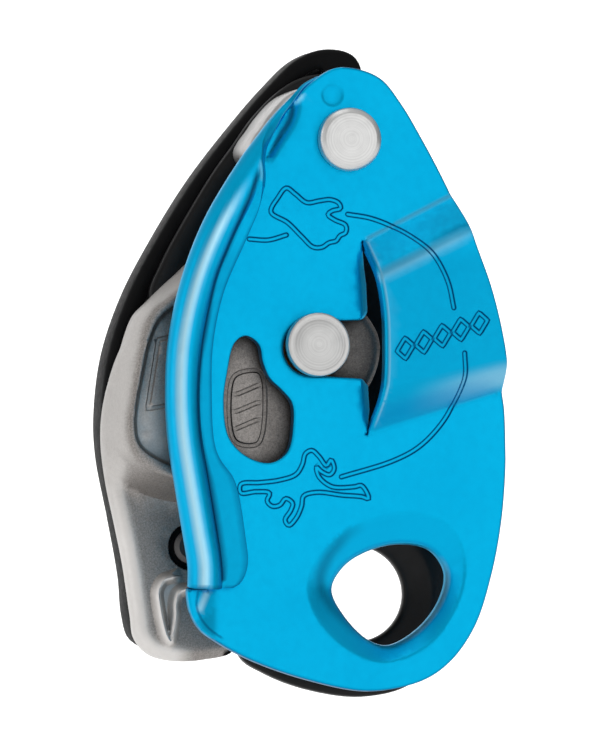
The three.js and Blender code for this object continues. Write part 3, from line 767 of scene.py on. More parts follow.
# where a point is on the rolled edge, the louver and the dish
beside = in_from_edge - LIP_RADIUS
across = 0.5 + (beside * VIEW_SIDE[0] + (depth - TUBE_DEPTH) * VIEW_SIDE[1]) / (2 * LIP_RADIUS)
on_tube = (depth < TUBE_DEPTH + 0.3) * smooth((4.9 - in_from_edge) / 0.4) * smooth((z + 37.7) / 0.4)
# where the painted highlight lies across the rolled edge, and how wide it is, along its height
highlight_middle = np.interp(z, (-37, 0, 10, 20), (0.5, 0.46, 0.5, 0.57))
highlight_width = np.interp(z, (-37, 0, 20, 26), (0.24, 0.22, 0.2, 0.12))
up = (upper_crease(x) - z) / (upper_crease(x) - upper_shoulder(x))
down = (z - lower_crease(x)) / (lower_shoulder(x) - lower_crease(x))
on_louver = (x > mouth_line(z) + 0.5) * front_side
ring = to_eye / (to_eye + distance(plan, dish_loop) + 1e-9)
bearing = np.degrees(np.arctan2(z - EYE_MIDDLE[1], x - EYE_MIDDLE[0]))
in_dish = inside(plan, dish_loop)
# painted highlight along the eye's rim
rim = band(to_eye, 0.3, 0.35) * np.interp(bearing, (-80, -50, 10, 35), (0, 1, 1, 0))
rim *= in_dish * (depth < PLATE_FRONT + DISH_DEPTH + 1.2)
bearing = bearing % 360
ring_middle = np.interp(bearing, (125, 165, 190, 220), (0.85, 0.6, 0.28, 0.1))
ring_dark = np.interp(bearing, (110, 138, 190, 225, 250), (0, 0.5, 0.55, 0.35, 0))

# cut face and corners of the rolled edge's upper end
cut_rows = lip_rows[lip_rows[:, 0, 2] > 25]
edge_start = len(lip_rows[0]) // 2 - 2
place = np.column_stack([x, depth, z])
cut_face = nearest(place, cut_rows[:, edge_start : edge_start + 3].reshape(-1, 3)) < 0.03
cut_corner = nearest(place, cut_rows[:, edge_start + 3 : edge_start + 5].reshape(-1, 3)) < 0.03

# painted highlights: paler colour along the rolled edge's crest, glints at its shoulder, lower corner, flap
# and cut corner, and streaks along the louver's mouth, lower ramp, upper shoulder and crease
painted_highlights = [
    band(across, highlight_middle, highlight_width) * on_tube * smooth((26 - z) / 9),
    0.45 * along(plan, SHOULDER_GLINT, 0.85) * front_side * (in_from_edge > 1.0),
    0.65 * along(plan, CORNER_GLINT, 0.9) * front_side,
    0.22 * along(plan, FLAP_GLINT, 0.4) * (depth < PLATE_FRONT - 1),
    0.25 * cut_corner,
    0.45 * band(to_opening, 0.8, 0.25) * on_louver * smooth(12.5 - x) * smooth((z + 12.9) / 1.5),
    0.45 * smooth((x - 13) / 14) * smooth(down / 0.5) * smooth((1.25 - down) / 0.5) * on_louver,
    0.3 * band(up, 1.13, 0.25) * smooth((26 - x) / 6) * on_louver,
    0.14 * band(up, 0, 0.06) * on_louver,
    0.5 * rim,
]
mark(plate, "painted_highlight", np.maximum.reduce(painted_highlights))

# painted shade: darker colour in the groove beside the rolled edge, in the hollow at its upper end, on the
# cut face, in streaks on the louver's upper ramp, on the flap, on the dish's slope and on the walls of the
# holes
in_groove = smooth(1.15 - distance(plan, groove_path, closed=False) / 0.62)
in_groove *= (depth < PLATE_FRONT + 0.3) * smooth((z + 36.9) / 0.8) * smooth((27.6 - z) / 2.5)
on_flap = (depth < PLATE_FRONT - 0.1) * (in_from_edge > 5.4) * smooth((18 - z) / 6)
sunk = np.where(in_from_edge > LIP_RADIUS + 0.4, depth - surface, 0)
at_hole = np.minimum(distance(plan, kidney_loop), to_opening) < 0.3
shadows = [
    in_groove,
    0.95 * smooth(0.5 + signed(plan, hollow_loop) / 0.5) * (depth > PLATE_FRONT - 0.4),
    0.3 * cut_face,
    0.5 * band(up, 0.86, 0.16) * smooth((x - 12) / 9) * on_louver,
    0.25 * smooth(up / 0.3) * smooth((1.0 - up) / 0.3) * smooth((x - 12) / 8) * on_louver,
    0.2 * on_flap,
    ring_dark * band(ring, ring_middle, 0.36) * in_dish * front_side,
    0.85 * at_hole * (sunk > 0.3) * (x < mouth_line(z) + 0.1),
]
mark(plate, "shade", np.maximum.reduce(shadows))

# darker lines: painted shade along the plate's outer edge and along the fold below the rolled edge, a
# painted shadow along the flap's edge, and a darker colour on the engraving walls
edge_shade_line = np.clip(1.3 - distance(plan, plate_outline) / 0.2, 0, 1)
edge_shade_line *= (depth > PLATE_FRONT - 0.02) * (in_from_edge > 4)
flap_shadow_line = np.clip(1.5 - distance(plan, flap_path, closed=False) / 0.25, 0, 1)
flap_shadow_line *= (z < 24.5) * (depth < PLATE_FRONT)
fold_shade_line = np.clip(1.4 - distance(plan, fold_path, closed=False) / 0.2, 0, 1) * front_side
lines = [
    engraving(plan)[1] * (depth < PLATE_FRONT + 0.6),
    0.75 * edge_shade_line,
    0.75 * flap_shadow_line,
    0.7 * fold_shade_line,
]
mark(plate, "line", np.maximum.reduce(lines))

# ------------ fixed side plate
fixed_edge = [
    (5.1, 42.6), (10.4, 40.9), (14.8, 34.6), (19.6, 25.6), (24.4, 16.5), (27.4, 5.8), (28.8, -6),
    (29.2, -17.5), (28.2, -29.5), (25.9, -38.8), (23.0, -46), (18.2, -51.2), (10.7, -53.1), (1.9, -52.0),
    (-4.7, -49.6), (-8.5, -47.0), (-9.1, -40), (-9.9, -30), (-11.9, -20), (-14.4, -10), (-17.4, -2),
    (-21.3, 4.6), (-22.7, 8.3), (-21.0, 12.8), (-18.2, 18.1), (-12.8, 27), (-9.6, 31.4), (-6.6, 35.6),
    (-2.7, 39.6), (1, 41.9),
]
EYE = np.array([10.2, -37.2])
EYE_RADIUS = 7.3
fixed_outline = curve(fixed_edge, 0.7)
fixed_eye = circle(EYE, EYE_RADIUS, 0.45)
fixed_holes = [fixed_eye, circle(PIVOT, 3.05, 0.5), circle(AXLE, 3.55, 0.5)]


def funnel(p):
    d = np.linalg.norm(p - EYE, axis=1)
    return 1.6 * ramp((11.2 - d) / 3.9, 0.15, 0.35)


def fixed_edges(p):
    return rounding(distance(p, fixed_outline), 0.7) + rounding(distance(p, fixed_eye), 0.8)


def fixed_front(p):
    return CHANNEL_BACK + funnel(p) + fixed_edges(p)


def fixed_rear(p):
    return FIXED_BACK + funnel(p) - fixed_edges(p)


fixed_guides = [circle(EYE, r, 0.8) for r in (8.6, 9.2, 9.8, 10.4, 11.0, 11.6, 12.2)]
fixed = relief(
    "fixed_plate", fixed_outline, fixed_holes, fixed_front, fixed_rear, 2.2, (0.15, 0.35, 0.7), fixed_guides
)

# ------------ cam casting
HUB_RADIUS = 11.0
BODY_FRONT = depth_range("cam")[0] + 1.0
ARM_FRONT = CHANNEL_BACK - 1.5
PIN_RECESS = 3.6
CAM_BACK = CHANNEL_BACK - 0.5
hub_angles = np.radians(np.arange(-58, 92, 10))
hub_radii = HUB_RADIUS - 1.1 * smooth(hub_angles / 0.7)
hub_arc = [tuple(AXLE + r * np.array([math.cos(a), math.sin(a)])) for r, a in zip(hub_radii, hub_angles)]
cam_outer = [
    (-5.5, 12.4), (-10, 13.6), (-15.2, 14.3), (-19.7, 10.8), (-23.7, 7.0), (-25.8, 4.8), (-27.8, -0.7),
    (-29.0, -5), (-29.9, -10), (-30.1, -14.4), (-29.4, -20.3), (-27.9, -27.3), (-26.7, -33.1),
    (-25.5, -41.0), (-24.9, -44.4), (-22.8, -46.8), (-19.3, -47.8), (-14.1, -47.6), (-10.0, -46.3),
    (-9.7, -40), (-10.9, -30), (-12.2, -22.4), (-9.5, -20.6), (-5, -19.4), (1, -14.5),
]
cam_outline = curve(cam_outer + hub_arc, 0.6)
body = [
    (-5.5, 12.0), (-10, 13.2), (-14.8, 13.6), (-18.6, 10.2), (-22.3, 7.2), (-24.5, 5.4), (-26.1, 2.6),
    (-27.0, -1.4), (-28.0, -7.4), (-28.7, -12.4), (-28.2, -15.8), (-26.3, -18.3), (-22.1, -20.2),
    (-15, -21.2), (-9.5, -20.4), (-5, -19.0), (1, -14.0),
]
body_loop = curve(body + hub_arc, 0.6)
panel = [
    (-18.6, 6.6), (-21.4, 5.9), (-24.0, 3.7), (-25.4, 0.4), (-26.3, -3.5), (-27.6, -11.6), (-27.0, -15.2),
    (-24.8, -17.2), (-20.5, -18.8), (-17.2, -18.0), (-16.0, -13), (-16.0, 1), (-16.4, 5),
]
panel_loop = curve(panel, 0.5)
arm = [
    (-26.5, 0.8), (-24.6, 1), (-22.4, -1.8), (-17.9, -7.8), (-15.3, -13), (-12.9, -20), (-10.9, -30),
    (-9.9, -40), (-9.7, -45.8), (-13.8, -47.9), (-19.3, -48.1), (-23.2, -47.0), (-25.3, -44.6),
    (-25.8, -41), (-27.0, -33.1), (-28.2, -27.3), (-29.7, -20.3), (-30.4, -14.4), (-30.1, -9),
]
arm_loop = curve(arm, 0.7)
rib = [
    (-19.6, -35.1), (-21.0, -35.6), (-21.9, -37.2), (-21.8, -39.0), (-21.3, -41.8), (-20.6, -44.2),
    (-20.0, -45.0), (-19.6, -43.6), (-19.2, -41.0), (-19.2, -39.0), (-18.7, -37.5), (-17.4, -36.9),
    (-15.5, -37.0),
]
rib_path = curve(rib, 0.35, closed=False)
label_frame = even([(-25.3, -9.8), (-20.6, -9.0), (-20.6, 1.5), (-23.6, 0.8)], 0.4, True)
badge_edge = [
    (-11.9, -14.6), (-8.5, -15.1), (-7.6, -13.5), (-7.4, -5.4), (-8.2, -3.9), (-11.6, -4.4),
    (-12.5, -5.8),
]
cam_engraved = [(label_frame, True), (curve(badge_edge, 0.35), True)]
BADGE_BARS = 3
BAR_PITCH = 2.6
for number in range(BADGE_BARS):
    rise = BAR_PITCH * number
    cam_engraved.append((even([(-11.4, -12.6 + rise), (-8.6, -11.4 + rise)], 0.35, False), False))


def cam_lines(p):
    deep = np.zeros(len(p))
    for path, closed in cam_engraved:
        gap = distance(p, path, closed)
        deep = np.maximum(deep, np.clip((0.42 - gap) / 0.2, 0, 1))
    return deep


def cam_front(p):
    x, z = p[:, 0], p[:, 1]
    d = signed(p, body_loop)
    # the body's wall slopes more at its lower left
    draft = 1.2 + 1.5 * smooth((-z - 13) / 6) * smooth((-x - 8) / 6)
    fall = ramp(np.where(d < 0, -d / draft, 0), 0.0001, 0.25)
    y = BODY_FRONT + (ARM_FRONT - BODY_FRONT) * fall
    y += np.where(d > 0, np.where(x > 3, rounding(d, 1.3), rounding(d, 0.8)), 0.8 * (1 - fall))
    y += 1.1 * ramp(signed(p, panel_loop) / 0.5, 0.3, 0.4)
    y += np.where(d < 0, 0, 0.22 * cam_lines(p))
    y -= np.where(d < -1, 1.3 * along(p, rib_path, 1.1), 0)
    y += 1.2 * ramp((PIN_RECESS - np.linalg.norm(p - HANDLE_PIVOT, axis=1)) / 0.25, 0.2, 0.2)
    y += np.where(d < -draft, rounding(distance(p, cam_outline), 1.7), 0)
    return np.minimum(y, CAM_BACK - 0.8 + 3.0 * inside(p, arm_loop))


def cam_rear(p):
    d = signed(p, arm_loop)
    y = CAM_BACK + (FIXED_BACK - CAM_BACK) * ramp(d / 0.6 + 0.5, 0.2, 0.2)
    return y - rounding(distance(p, cam_outline), 0.5)


def offset_lines(loop, steps, closed=True):
    n = normals(loop, closed) * (1 if area(loop) > 0 else -1)
    return [loop + n * s for s in steps]


cam_guides = offset_lines(body_loop, (0.7, 0.4, 0.2, 0.05, -0.1, -0.4, -0.8, -1.1, -1.4, -1.8, -2.3, -2.8))
cam_guides += offset_lines(cam_outline, (1.6, 2.1, 2.7))
cam_guides += offset_lines(panel_loop, (0.75, 0.5, 0.3, 0.15, 0, -0.15))
cam_guides += offset_lines(arm_loop, (0.35, 0.1, -0.1, -0.35))
cam_guides += [circle(HANDLE_PIVOT, PIN_RECESS + r, 0.5) for r in (-0.35, -0.25, -0.12, 0, 0.15)]
for gap in (0, 0.25, 0.5, 0.8, 1.1):
    cam_guides += offset_lines(rib_path, (gap, -gap), closed=False)
for path, closed in cam_engraved:
    for gap in (0.22, 0.42):
        side = normals(path, closed) * gap
        cam_guides += [path + side, path - side]
cam = relief(
    "cam_casting",
    cam_outline,
    [circle(AXLE, 5.25, 0.6), circle(HANDLE_PIVOT, 2.06, 0.5)],
    cam_front,
    cam_rear,
    1.5,
    (0.12, 0.35, 0.7, 1.2),
    cam_guides,
)
groove_profile = [
    (9.2, -2.3), (9.6, -3.2), (11.0, -4.2), (14, -4.6), (14, 4.6), (11.0, 4.2), (9.6, 3.2), (9.2, 2.3),
    (9.0, 0),
]
groove_rows = []
for a in np.radians(np.linspace(-75, 105, 60)):
    x, z = math.cos(a), math.sin(a)
    groove_rows.append([(AXLE[0] + r * x, CHANNEL_MIDDLE + y, AXLE[1] + r * z) for r, y in groove_profile])
cam = combine(cam, skin("rope_groove", groove_rows), "DIFFERENCE")
cam.name = "cam_casting"
plan, depth = plan_of(cam)
x, z = plan[:, 0], plan[:, 1]
inward = signed(plan, body_loop)
# painted light: paler colour on the left-facing flank and wall, on the panel (more towards its bottom), on
# the rib's ridges and in its pocket, where light falls on them
lit_flank = smooth((2.6 - distance(plan, cam_outline)) / 1.3) * smooth((-15.5 - x) / 4) * smooth((-9 - z) / 6)
lit_flank *= smooth((-0.4 - inward) / 0.8) * np.interp(z, (-30, -17), (1.0, 0.6))
wall = smooth((0.3 - inward) / 0.6) * 0.6 * (x < -4) * smooth((z + 20) / 5) * (inward > -2.8)
lit = (0.12 + 0.3 * smooth((-5 - z) / 8)) * smooth(signed(plan, panel_loop) / 0.6)
ridge_highlight = smooth(1.2 - distance(plan, rib_path, closed=False) / 1.0) * (depth < ARM_FRONT + 0.2)
pocket = 0.65 * smooth(0.3 + signed(plan, rib_path) / 1.2) * (inward < -2)
mark(cam, "painted_light", np.maximum.reduce([lit_flank, wall, lit, ridge_highlight, pocket]))
# painted shade: darker under the side plate, more towards the hub, and in the recess round the handle's pin
under_plate = (inward > 0.1) * (depth < BODY_FRONT + 3) * (x > -16)
mark(cam, "under_plate", under_plate)
in_recess = np.linalg.norm(plan - HANDLE_PIVOT, axis=1) < PIN_RECESS - 0.05
mark(cam, "painted_shade", np.maximum(in_recess, 0.38 * smooth((x + 10) / 4) * under_plate))

# ------------ handle
handle_spine = [
    (11.4, 43.1), (11.0, 44.7), (9.9, 45.9), (7.8, 46.6), (4.6, 46.5), (1.0, 44.9), (-3.4, 40.7),
    (-7.6, 35.9), (-14.8, 26.7), (-20.6, 17.5), (-25.4, 8.4), (-28.5, -0.8), (-29.6, -10.1),
    (-29.3, -16.2), (-27.5, -25.3), (-25.8, -34.5), (-25.2, -40.6), (-24.0, -44.2),
]
handle_inner = [
    (-20, -46), (-14.8, -44.8), (-11.4, -41.4), (-10.3, -36.5), (-11.2, -27), (-13.9, -17), (-15.6, -8),
    (-15, 2), (-11.6, 12), (-5.6, 23), (0.5, 32.5), (4.2, 37.6), (7.6, 40.6), (10.6, 41.6),
]
handle_outline = curve(handle_spine + handle_inner, 0.8)
spine_path = curve(handle_spine, 0.8, closed=False)
core_rivets = [plan_centre("core_rivet_upper"), plan_centre("core_rivet_lower")]
HANDLE_WALL = 2.7
HANDLE_WEB = 2.4


def handle_front(p):
    edge = distance(p, handle_outline)
    spine = distance(p, spine_path, closed=False)
    pocket = (HANDLE_BACK - HANDLE_WEB - HANDLE_FRONT) * ramp((spine - HANDLE_WALL) / 0.8, 0.15, 0.15)
    from_pin = np.linalg.norm(p - HANDLE_PIVOT, axis=1)
    from_tip = np.linalg.norm(p - np.array([10.5, 44.0]), axis=1)
    filled = np.maximum(smooth((6.6 - from_pin) / 0.6), smooth((7.0 - from_tip) / 1.5))
    pocket = pocket * (1 - filled)
    return HANDLE_FRONT + np.maximum(pocket, rounding(edge, 1.2) * (spine < 4))


def handle_rear(p):
    edge = distance(p, handle_outline)
    sunk = smooth((edge - 3.4) / 0.8)
    for rivet in core_rivets:
        sunk = np.maximum(sunk, smooth((2.9 - np.linalg.norm(p - rivet, axis=1)) / 0.5))
    return HANDLE_BACK - np.maximum(rounding(edge, 2.0), 0.5 * sunk)


handle_guides = offset_lines(handle_outline, (0.25, 0.6, 1.2, 2.0, 2.7, 3.1, 3.5, 4.3))
handle_guides += [circle(rivet, radius, 0.5) for rivet in core_rivets for radius in (2.35, 2.6, 2.9)]
handle = relief(
    "handle_shell",
    handle_outline,
    [circle(HANDLE_PIVOT, 3.1, 0.5)],
    handle_front,
    handle_rear,
    1.8,
    (0.12, 0.4, 0.9),
    handle_guides,
)

# ------------ turned heads
HEAD_RADIUS = 4.85
stud_front, stud_back = depth_range("plate_pivot_stud")
seat = PLATE_FRONT - 0.05
stud = turned(
    "pivot_stud",
    PIVOT,
    [
        (0, stud_front + 0.02), (0.5, stud_front), (3.9, stud_front), (4.1, stud_front + 0.06),
        (4.55, stud_front + 0.42), (4.78, stud_front + 0.62), (HEAD_RADIUS, stud_front + 0.9),
        (HEAD_RADIUS, seat - 0.05), (HEAD_RADIUS - 0.05, seat), (3.5, seat), (3.5, CHANNEL_BACK - 0.05),
        (2.95, CHANNEL_BACK - 0.05), (2.95, stud_back - 0.2), (2.75, stud_back), (0, stud_back),
    ],
)

axle_front, axle_back = depth_range("cam_axle")
head_back = PLATE_FRONT - 0.3
axle = turned(
    "axle",
    AXLE,
    [
        (0, axle_front + 0.03), (0.45, axle_front + 0.02), (3.72, axle_front), (3.8, axle_front + 0.05),
        (3.92, axle_front + 0.05), (4.0, axle_front), (4.55, axle_front), (4.75, axle_front + 0.08),
        (HEAD_RADIUS, axle_front + 0.25), (HEAD_RADIUS, head_back - 0.1), (HEAD_RADIUS - 0.1, head_back),
        (3.7, head_back), (3.7, CHANNEL_FRONT + 0.2), (4.2, CHANNEL_FRONT + 0.2), (4.2, CHANNEL_BACK - 0.05),
        (3.4, CHANNEL_BACK - 0.05), (3.4, FIXED_BACK + 0.6), (4.3, FIXED_BACK + 0.6), (4.1, axle_back - 0.3),
        (3.6, axle_back), (0, axle_back),
    ],
)

# ------------ friction plate
friction_edge = [
    (0.6, 39.9), (-3.4, 38.6), (-6.6, 35.4), (-8.0, 33.4), (-9.2, 31.8), (-9.9, 30.2), (-9.4, 28.6),
    (-7.4, 27.9), (-4.5, 28.4), (-1.3, 29.6), (-1.4, 33), (-0.4, 36.6),
]
friction_loop = curve(friction_edge, 0.5)
friction = relief(
    "friction_shoe",
    friction_loop,
    [],
    lambda p: CHANNEL_FRONT + 0.3 + rounding(distance(p, friction_loop), 1.3),
    lambda p: CHANNEL_BACK - 0.02 - rounding(distance(p, friction_loop), 0.8),
    1.2,
    (0.1, 0.3, 0.6, 1.0),
)

# ------------ materials


def linear(*levels):
    """A colour for the nodes from red, green and blue levels of 0 to 255; one level alone is a grey."""
    out = []
    for level in levels if len(levels) == 3 else levels * 3:
        c = level / 255
        out.append(c / 12.92 if c <= 0.04045 else ((c + 0.055) / 1.055) ** 2.4)
    return tuple(out) + (1,)


class Finish:
    """A node material being put together."""

    def __init__(self, name):
        self.material = bpy.data.materials.new(name)
        self.material.use_nodes = True
        self.nodes = self.material.node_tree.nodes
        self.links = self.material.node_tree.links
        self.shader = self.nodes["Principled BSDF"]
        self.coords = self.nodes.new("ShaderNodeTexCoord")

    def set(self, **inputs):
        """Sets inputs of the shader, named in lower case with underscores."""
        for key, value in inputs.items():
            self.shader.inputs[key.replace("_", " ").title().replace("Ior", "IOR")].default_value = value
        return self

    def noise(self, scale, detail=3.0, roughness=0.55):
        node = self.nodes.new("ShaderNodeTexNoise")
        node.inputs["Scale"].default_value = scale
        node.inputs["Detail"].default_value = detail
        node.inputs["Roughness"].default_value = roughness
        self.links.new(self.coords.outputs["Object"], node.inputs["Vector"])
        return node.outputs["Fac"]

    def between(self, value, low, high, from_low=0.3, from_high=0.7):
        """The value mapped to low and high."""
        node = self.nodes.new("ShaderNodeMapRange")
        node.inputs["From Min"].default_value = from_low
        node.inputs["From Max"].default_value = from_high
        node.inputs["To Min"].default_value = low
        node.inputs["To Max"].default_value = high
        self.links.new(value, node.inputs["Value"])
        return node.outputs["Result"]

    def colours(self, value, stops):
        node = self.nodes.new("ShaderNodeValToRGB")
        for element, (position, colour) in zip(node.color_ramp.elements, stops):
            element.position = position
            element.color = colour
        self.links.new(value, node.inputs["Fac"])
        return node.outputs["Color"]

    def mottled(self, value, dark, light, low=0.3, high=0.7):
        """Base colour that wanders with the value between two tones."""
        return self.to("Base Color", self.colours(value, [(low, linear(*dark)), (high, linear(*light))]))

    def mix(self, factor, a, b):
        node = self.nodes.new("ShaderNodeMix")
        node.data_type = "RGBA"
        for socket, value in (("Factor", factor), ("A", a), ("B", b)):
            target = [i for i in node.inputs if i.name == socket and i.enabled][0]
            if isinstance(value, tuple):
                target.default_value = value
            else:
                self.links.new(value, target)
        return [o for o in node.outputs if o.enabled][0]

    def bump(self, height, distance_m, strength=1.0):
        node = self.nodes.new("ShaderNodeBump")
        node.inputs["Distance"].default_value = distance_m
        node.inputs["Strength"].default_value = strength
        self.links.new(height, node.inputs["Height"])
        last = self.shader.inputs["Normal"]
        if last.is_linked:
            self.links.new(last.links[0].from_socket, node.inputs["Normal"])
        self.links.new(node.outputs["Normal"], last)
        return self

    def to(self, socket, value):
        self.links.new(value, self.shader.inputs[socket])
        return self

    def covered(self, reach_mm, low, high, most):
        """Rises from 0 where the surface is open to most where other surfaces stand close over it."""
        node = self.nodes.new("ShaderNodeAmbientOcclusion")
        node.samples = 8
        node.inputs["Distance"].default_value = reach_mm * MM
        return self.between(node.outputs["AO"], most, 0, low, high)

    def product(self, a, b):
        node = self.nodes.new("ShaderNodeMath")
        node.operation = "MULTIPLY"
        self.links.new(a, node.inputs[0])
        self.links.new(b, node.inputs[1])
        return node.outputs[0]

    def attribute(self, name):
        node = self.nodes.new("ShaderNodeAttribute")
        node.attribute_name = name
        return node.outputs["Fac"]

    def rings(self, centre, pitch):
        """Height of fine circular turning marks about an axis along Y."""
        shift = self.nodes.new("ShaderNodeVectorMath")
        shift.operation = "SUBTRACT"
        shift.inputs[1].default_value = (centre[0] * MM, 0, centre[1] * MM)
        self.links.new(self.coords.outputs["Object"], shift.inputs[0])
        flat = self.nodes.new("ShaderNodeVectorMath")
        flat.operation = "MULTIPLY"
        flat.inputs[1].default_value = (1, 0, 1)
        self.links.new(shift.outputs[0], flat.inputs[0])
        length = self.nodes.new("ShaderNodeVectorMath")
        length.operation = "LENGTH"
        self.links.new(flat.outputs[0], length.inputs[0])
        node = self.nodes.new("ShaderNodeTexNoise")
        node.noise_dimensions = "1D"
        node.inputs["Scale"].default_value = 1 / (pitch * MM)
        node.inputs["Detail"].default_value = 2
        self.links.new(length.outputs["Value"], node.inputs["W"])
        return node.outputs["Fac"]


blue = Finish("anodised_blue_satin")
blue.set(metallic=0.85, roughness=0.38, coat_weight=0.03, coat_roughness=0.2, specular_ior_level=0.05)
blue_base = blue.colours(blue.noise(60), [(0.3, linear(0, 172, 222)), (0.7, linear(2, 178, 227))])
# painted highlight, painted shade and darker lines (engraving walls and painted shade along edges) mixed
# into the blue
blue_highlighted = blue.mix(blue.attribute("painted_highlight"), blue_base, linear(184, 236, 255))
blue_shade = blue.mix(blue.attribute("shade"), blue_highlighted, linear(2, 70, 108))
blue.to("Base Color", blue.mix(blue.attribute("line"), blue_shade, linear(0, 92, 138)))
blue.to("Roughness", blue.between(blue.noise(900, 2), 0.32, 0.42))
blue.bump(blue.noise(6000, 2), 0.00001, 0.25)

# painted shade: dark grey mixed in where ambient occlusion finds the side plate close over the cam, in close
# hollows, and where the marks say
SHADE_GREY = linear(22)
steel = Finish("blasted_cast_steel").set(metallic=0.9, roughness=0.46)
grain = steel.noise(4200, 3, 0.7)
steel_base = steel.colours(grain, [(0.32, linear(128, 124, 121)), (0.68, linear(168, 163, 159))])
# painted light: paler grey where the marks say light falls
steel_lit = steel.mix(steel.attribute("painted_light"), steel_base, linear(222, 219, 216))
under_plate_shade = steel.product(steel.covered(9, 0.2, 0.62, 0.9), steel.attribute("under_plate"))
steel_shaded_under_plate = steel.mix(under_plate_shade, steel_lit, SHADE_GREY)
steel_shaded_in_hollows = steel.mix(steel.covered(5, 0.1, 0.72, 0.85), steel_shaded_under_plate, SHADE_GREY)
steel.to("Base Color", steel.mix(steel.attribute("painted_shade"), steel_shaded_in_hollows, SHADE_GREY))
steel.to("Roughness", steel.between(steel.noise(1500, 2), 0.42, 0.58))
steel.bump(steel.noise(3600, 4, 0.7), 0.00004, 0.55)
steel.bump(steel.noise(260, 2), 0.00012, 0.25)


def turned_finish(name, centre, low, high):
    made = Finish(name).set(metallic=0.95, roughness=0.34)
    marks = made.rings(centre, 0.22)
    broad = made.noise(700, 2)
    made.mottled(marks, (low, low, low - 1), (high, high, high - 1), 0.35, 0.65)
    made.to("Roughness", made.between(broad, 0.28, 0.42))
    made.bump(marks, 0.00001, 0.35)
    made.bump(made.noise(5200, 2), 0.000012, 0.3)
    return made


turned_pivot = turned_finish("turned_steel_pivot", PIVOT, 206, 218)
turned_axle = turned_finish("turned_steel_axle", AXLE, 191, 203)

dark_pin = Finish("blackened_pin").set(metallic=0.85, roughness=0.4)
dark_pin.mottled(dark_pin.rings(HANDLE_PIVOT, 0.2), (74, 73, 73), (92, 91, 91))
dark_pin.bump(dark_pin.noise(3000), 0.00001, 0.4)

polished = Finish("polished_steel").set(metallic=0.95, roughness=0.28)
polished.mottled(polished.noise(500), (178, 177, 176), (198, 197, 196))
polished.to("Roughness", polished.between(polished.noise(1400), 0.3, 0.42))
polished.bump(polished.noise(2400, 2), 0.00001, 0.4)

spring = Finish("drawn_spring_wire").set(metallic=1.0, roughness=0.3)
spring.mottled(spring.noise(1800), (112, 114, 117), (138, 140, 143))
spring.bump(spring.noise(4000), 0.00001, 0.4)

bronze = Finish("sintered_bronze").set(metallic=0.9, roughness=0.45)
bronze.mottled(bronze.noise(3000, 4), (84, 68, 42), (104, 86, 56))
bronze.bump(bronze.noise(5000), 0.00002, 0.5)

nylon = Finish("black_nylon").set(roughness=0.5, specular_ior_level=0.07)
nylon.mottled(nylon.noise(300), (11, 11, 12), (17, 17, 18))
nylon.to("Roughness", nylon.between(nylon.noise(1200), 0.42, 0.56))
nylon.bump(nylon.noise(3200, 3), 0.00003, 0.5)

coated = Finish("black_coated_plate").set(roughness=0.34, metallic=0.2, specular_ior_level=0.25)
coated.mottled(coated.noise(420), (9, 9, 10), (15, 15, 16))
coated.to("Roughness", coated.between(coated.noise(1800), 0.28, 0.42))
coated.bump(coated.noise(4200, 3), 0.00002, 0.4)


def dress(piece, finish):
    piece.data.materials.clear()
    piece.data.materials.append(finish.material)


# piece, the body it rides on, the CAD node it stands for, that node's slot, finish
for piece, body_name, node_name, slot, finish in (
    (plate, "side_plate", "moving_side_plate", "anodised_blue", blue),
    (fixed, "frame", "fixed_side_plate", "black_coated", coated),
    (cam, "cam", "cam", "blasted_steel", steel),
    (handle, "handle", "handle_grip", "nylon", nylon),
    (stud, "frame", "plate_pivot_stud", "turned_steel", turned_pivot),
    (axle, "frame", "cam_axle", "turned_steel", turned_axle),
    (friction, "frame", "friction_plate", "turned_steel", polished),
):
    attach(piece, body_name)
    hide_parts(node_name)
    dress(piece, finish)

carried = (
    (polished, ("friction_rivet_upper", "friction_rivet_lower", "spring_anchor_peg")),
    (polished, ("handle_core", "core_rivet_upper", "core_rivet_lower")),
    (turned_pivot, ("pivot_washer", "pivot_spacer")),
    (turned_axle, ("axle_rear_washer",)),
    (bronze, ("cam_thrust_washer", "cam_bush", "handle_bush")),
    (spring, ("cam_return_spring", "handle_return_spring", "handle_retaining_ring")),
    (dark_pin, ("handle_pivot_pin",)),
)
for finish, node_names in carried:
    for node_name in node_names:
        dress(frame["nodes"][node_name], finish)
        shade(frame["nodes"][node_name], 30)

# ------------ stage, light and camera
FLOOR_LEVEL = -0.16
COVE_FRONT = -1.6
COVE_BACK = 3.8
COVE_TOP = 2.4
COVE_CURVE = 0.6
COVE_HALF_WIDTH = 2.8
profile = [(COVE_FRONT, FLOOR_LEVEL), (COVE_BACK - COVE_CURVE, FLOOR_LEVEL)]
for angle in np.radians(np.linspace(-90, 0, 13)):
    turn_y, turn_z = COVE_CURVE * math.cos(angle), COVE_CURVE * (1 + math.sin(angle))
    profile.append((COVE_BACK - COVE_CURVE + turn_y, FLOOR_LEVEL + turn_z))
profile.append((COVE_BACK, COVE_TOP))
cove_vertices = [(x, y, z) for y, z in profile for x in (-COVE_HALF_WIDTH, COVE_HALF_WIDTH)]
cove_faces = [(2 * k, 2 * k + 1, 2 * k + 3, 2 * k + 2) for k in range(len(profile) - 1)]
cove = new_object("cove", cove_vertices, cove_faces)
paper = Finish("white_paper").set(roughness=0.9, emission_color=(1, 1, 1, 1), emission_strength=0.35)
paper.to("Base Color", paper.colours(paper.noise(3), [(0.3, (0.93,) * 3 + (1,)), (0.7, (0.95,) * 3 + (1,))]))
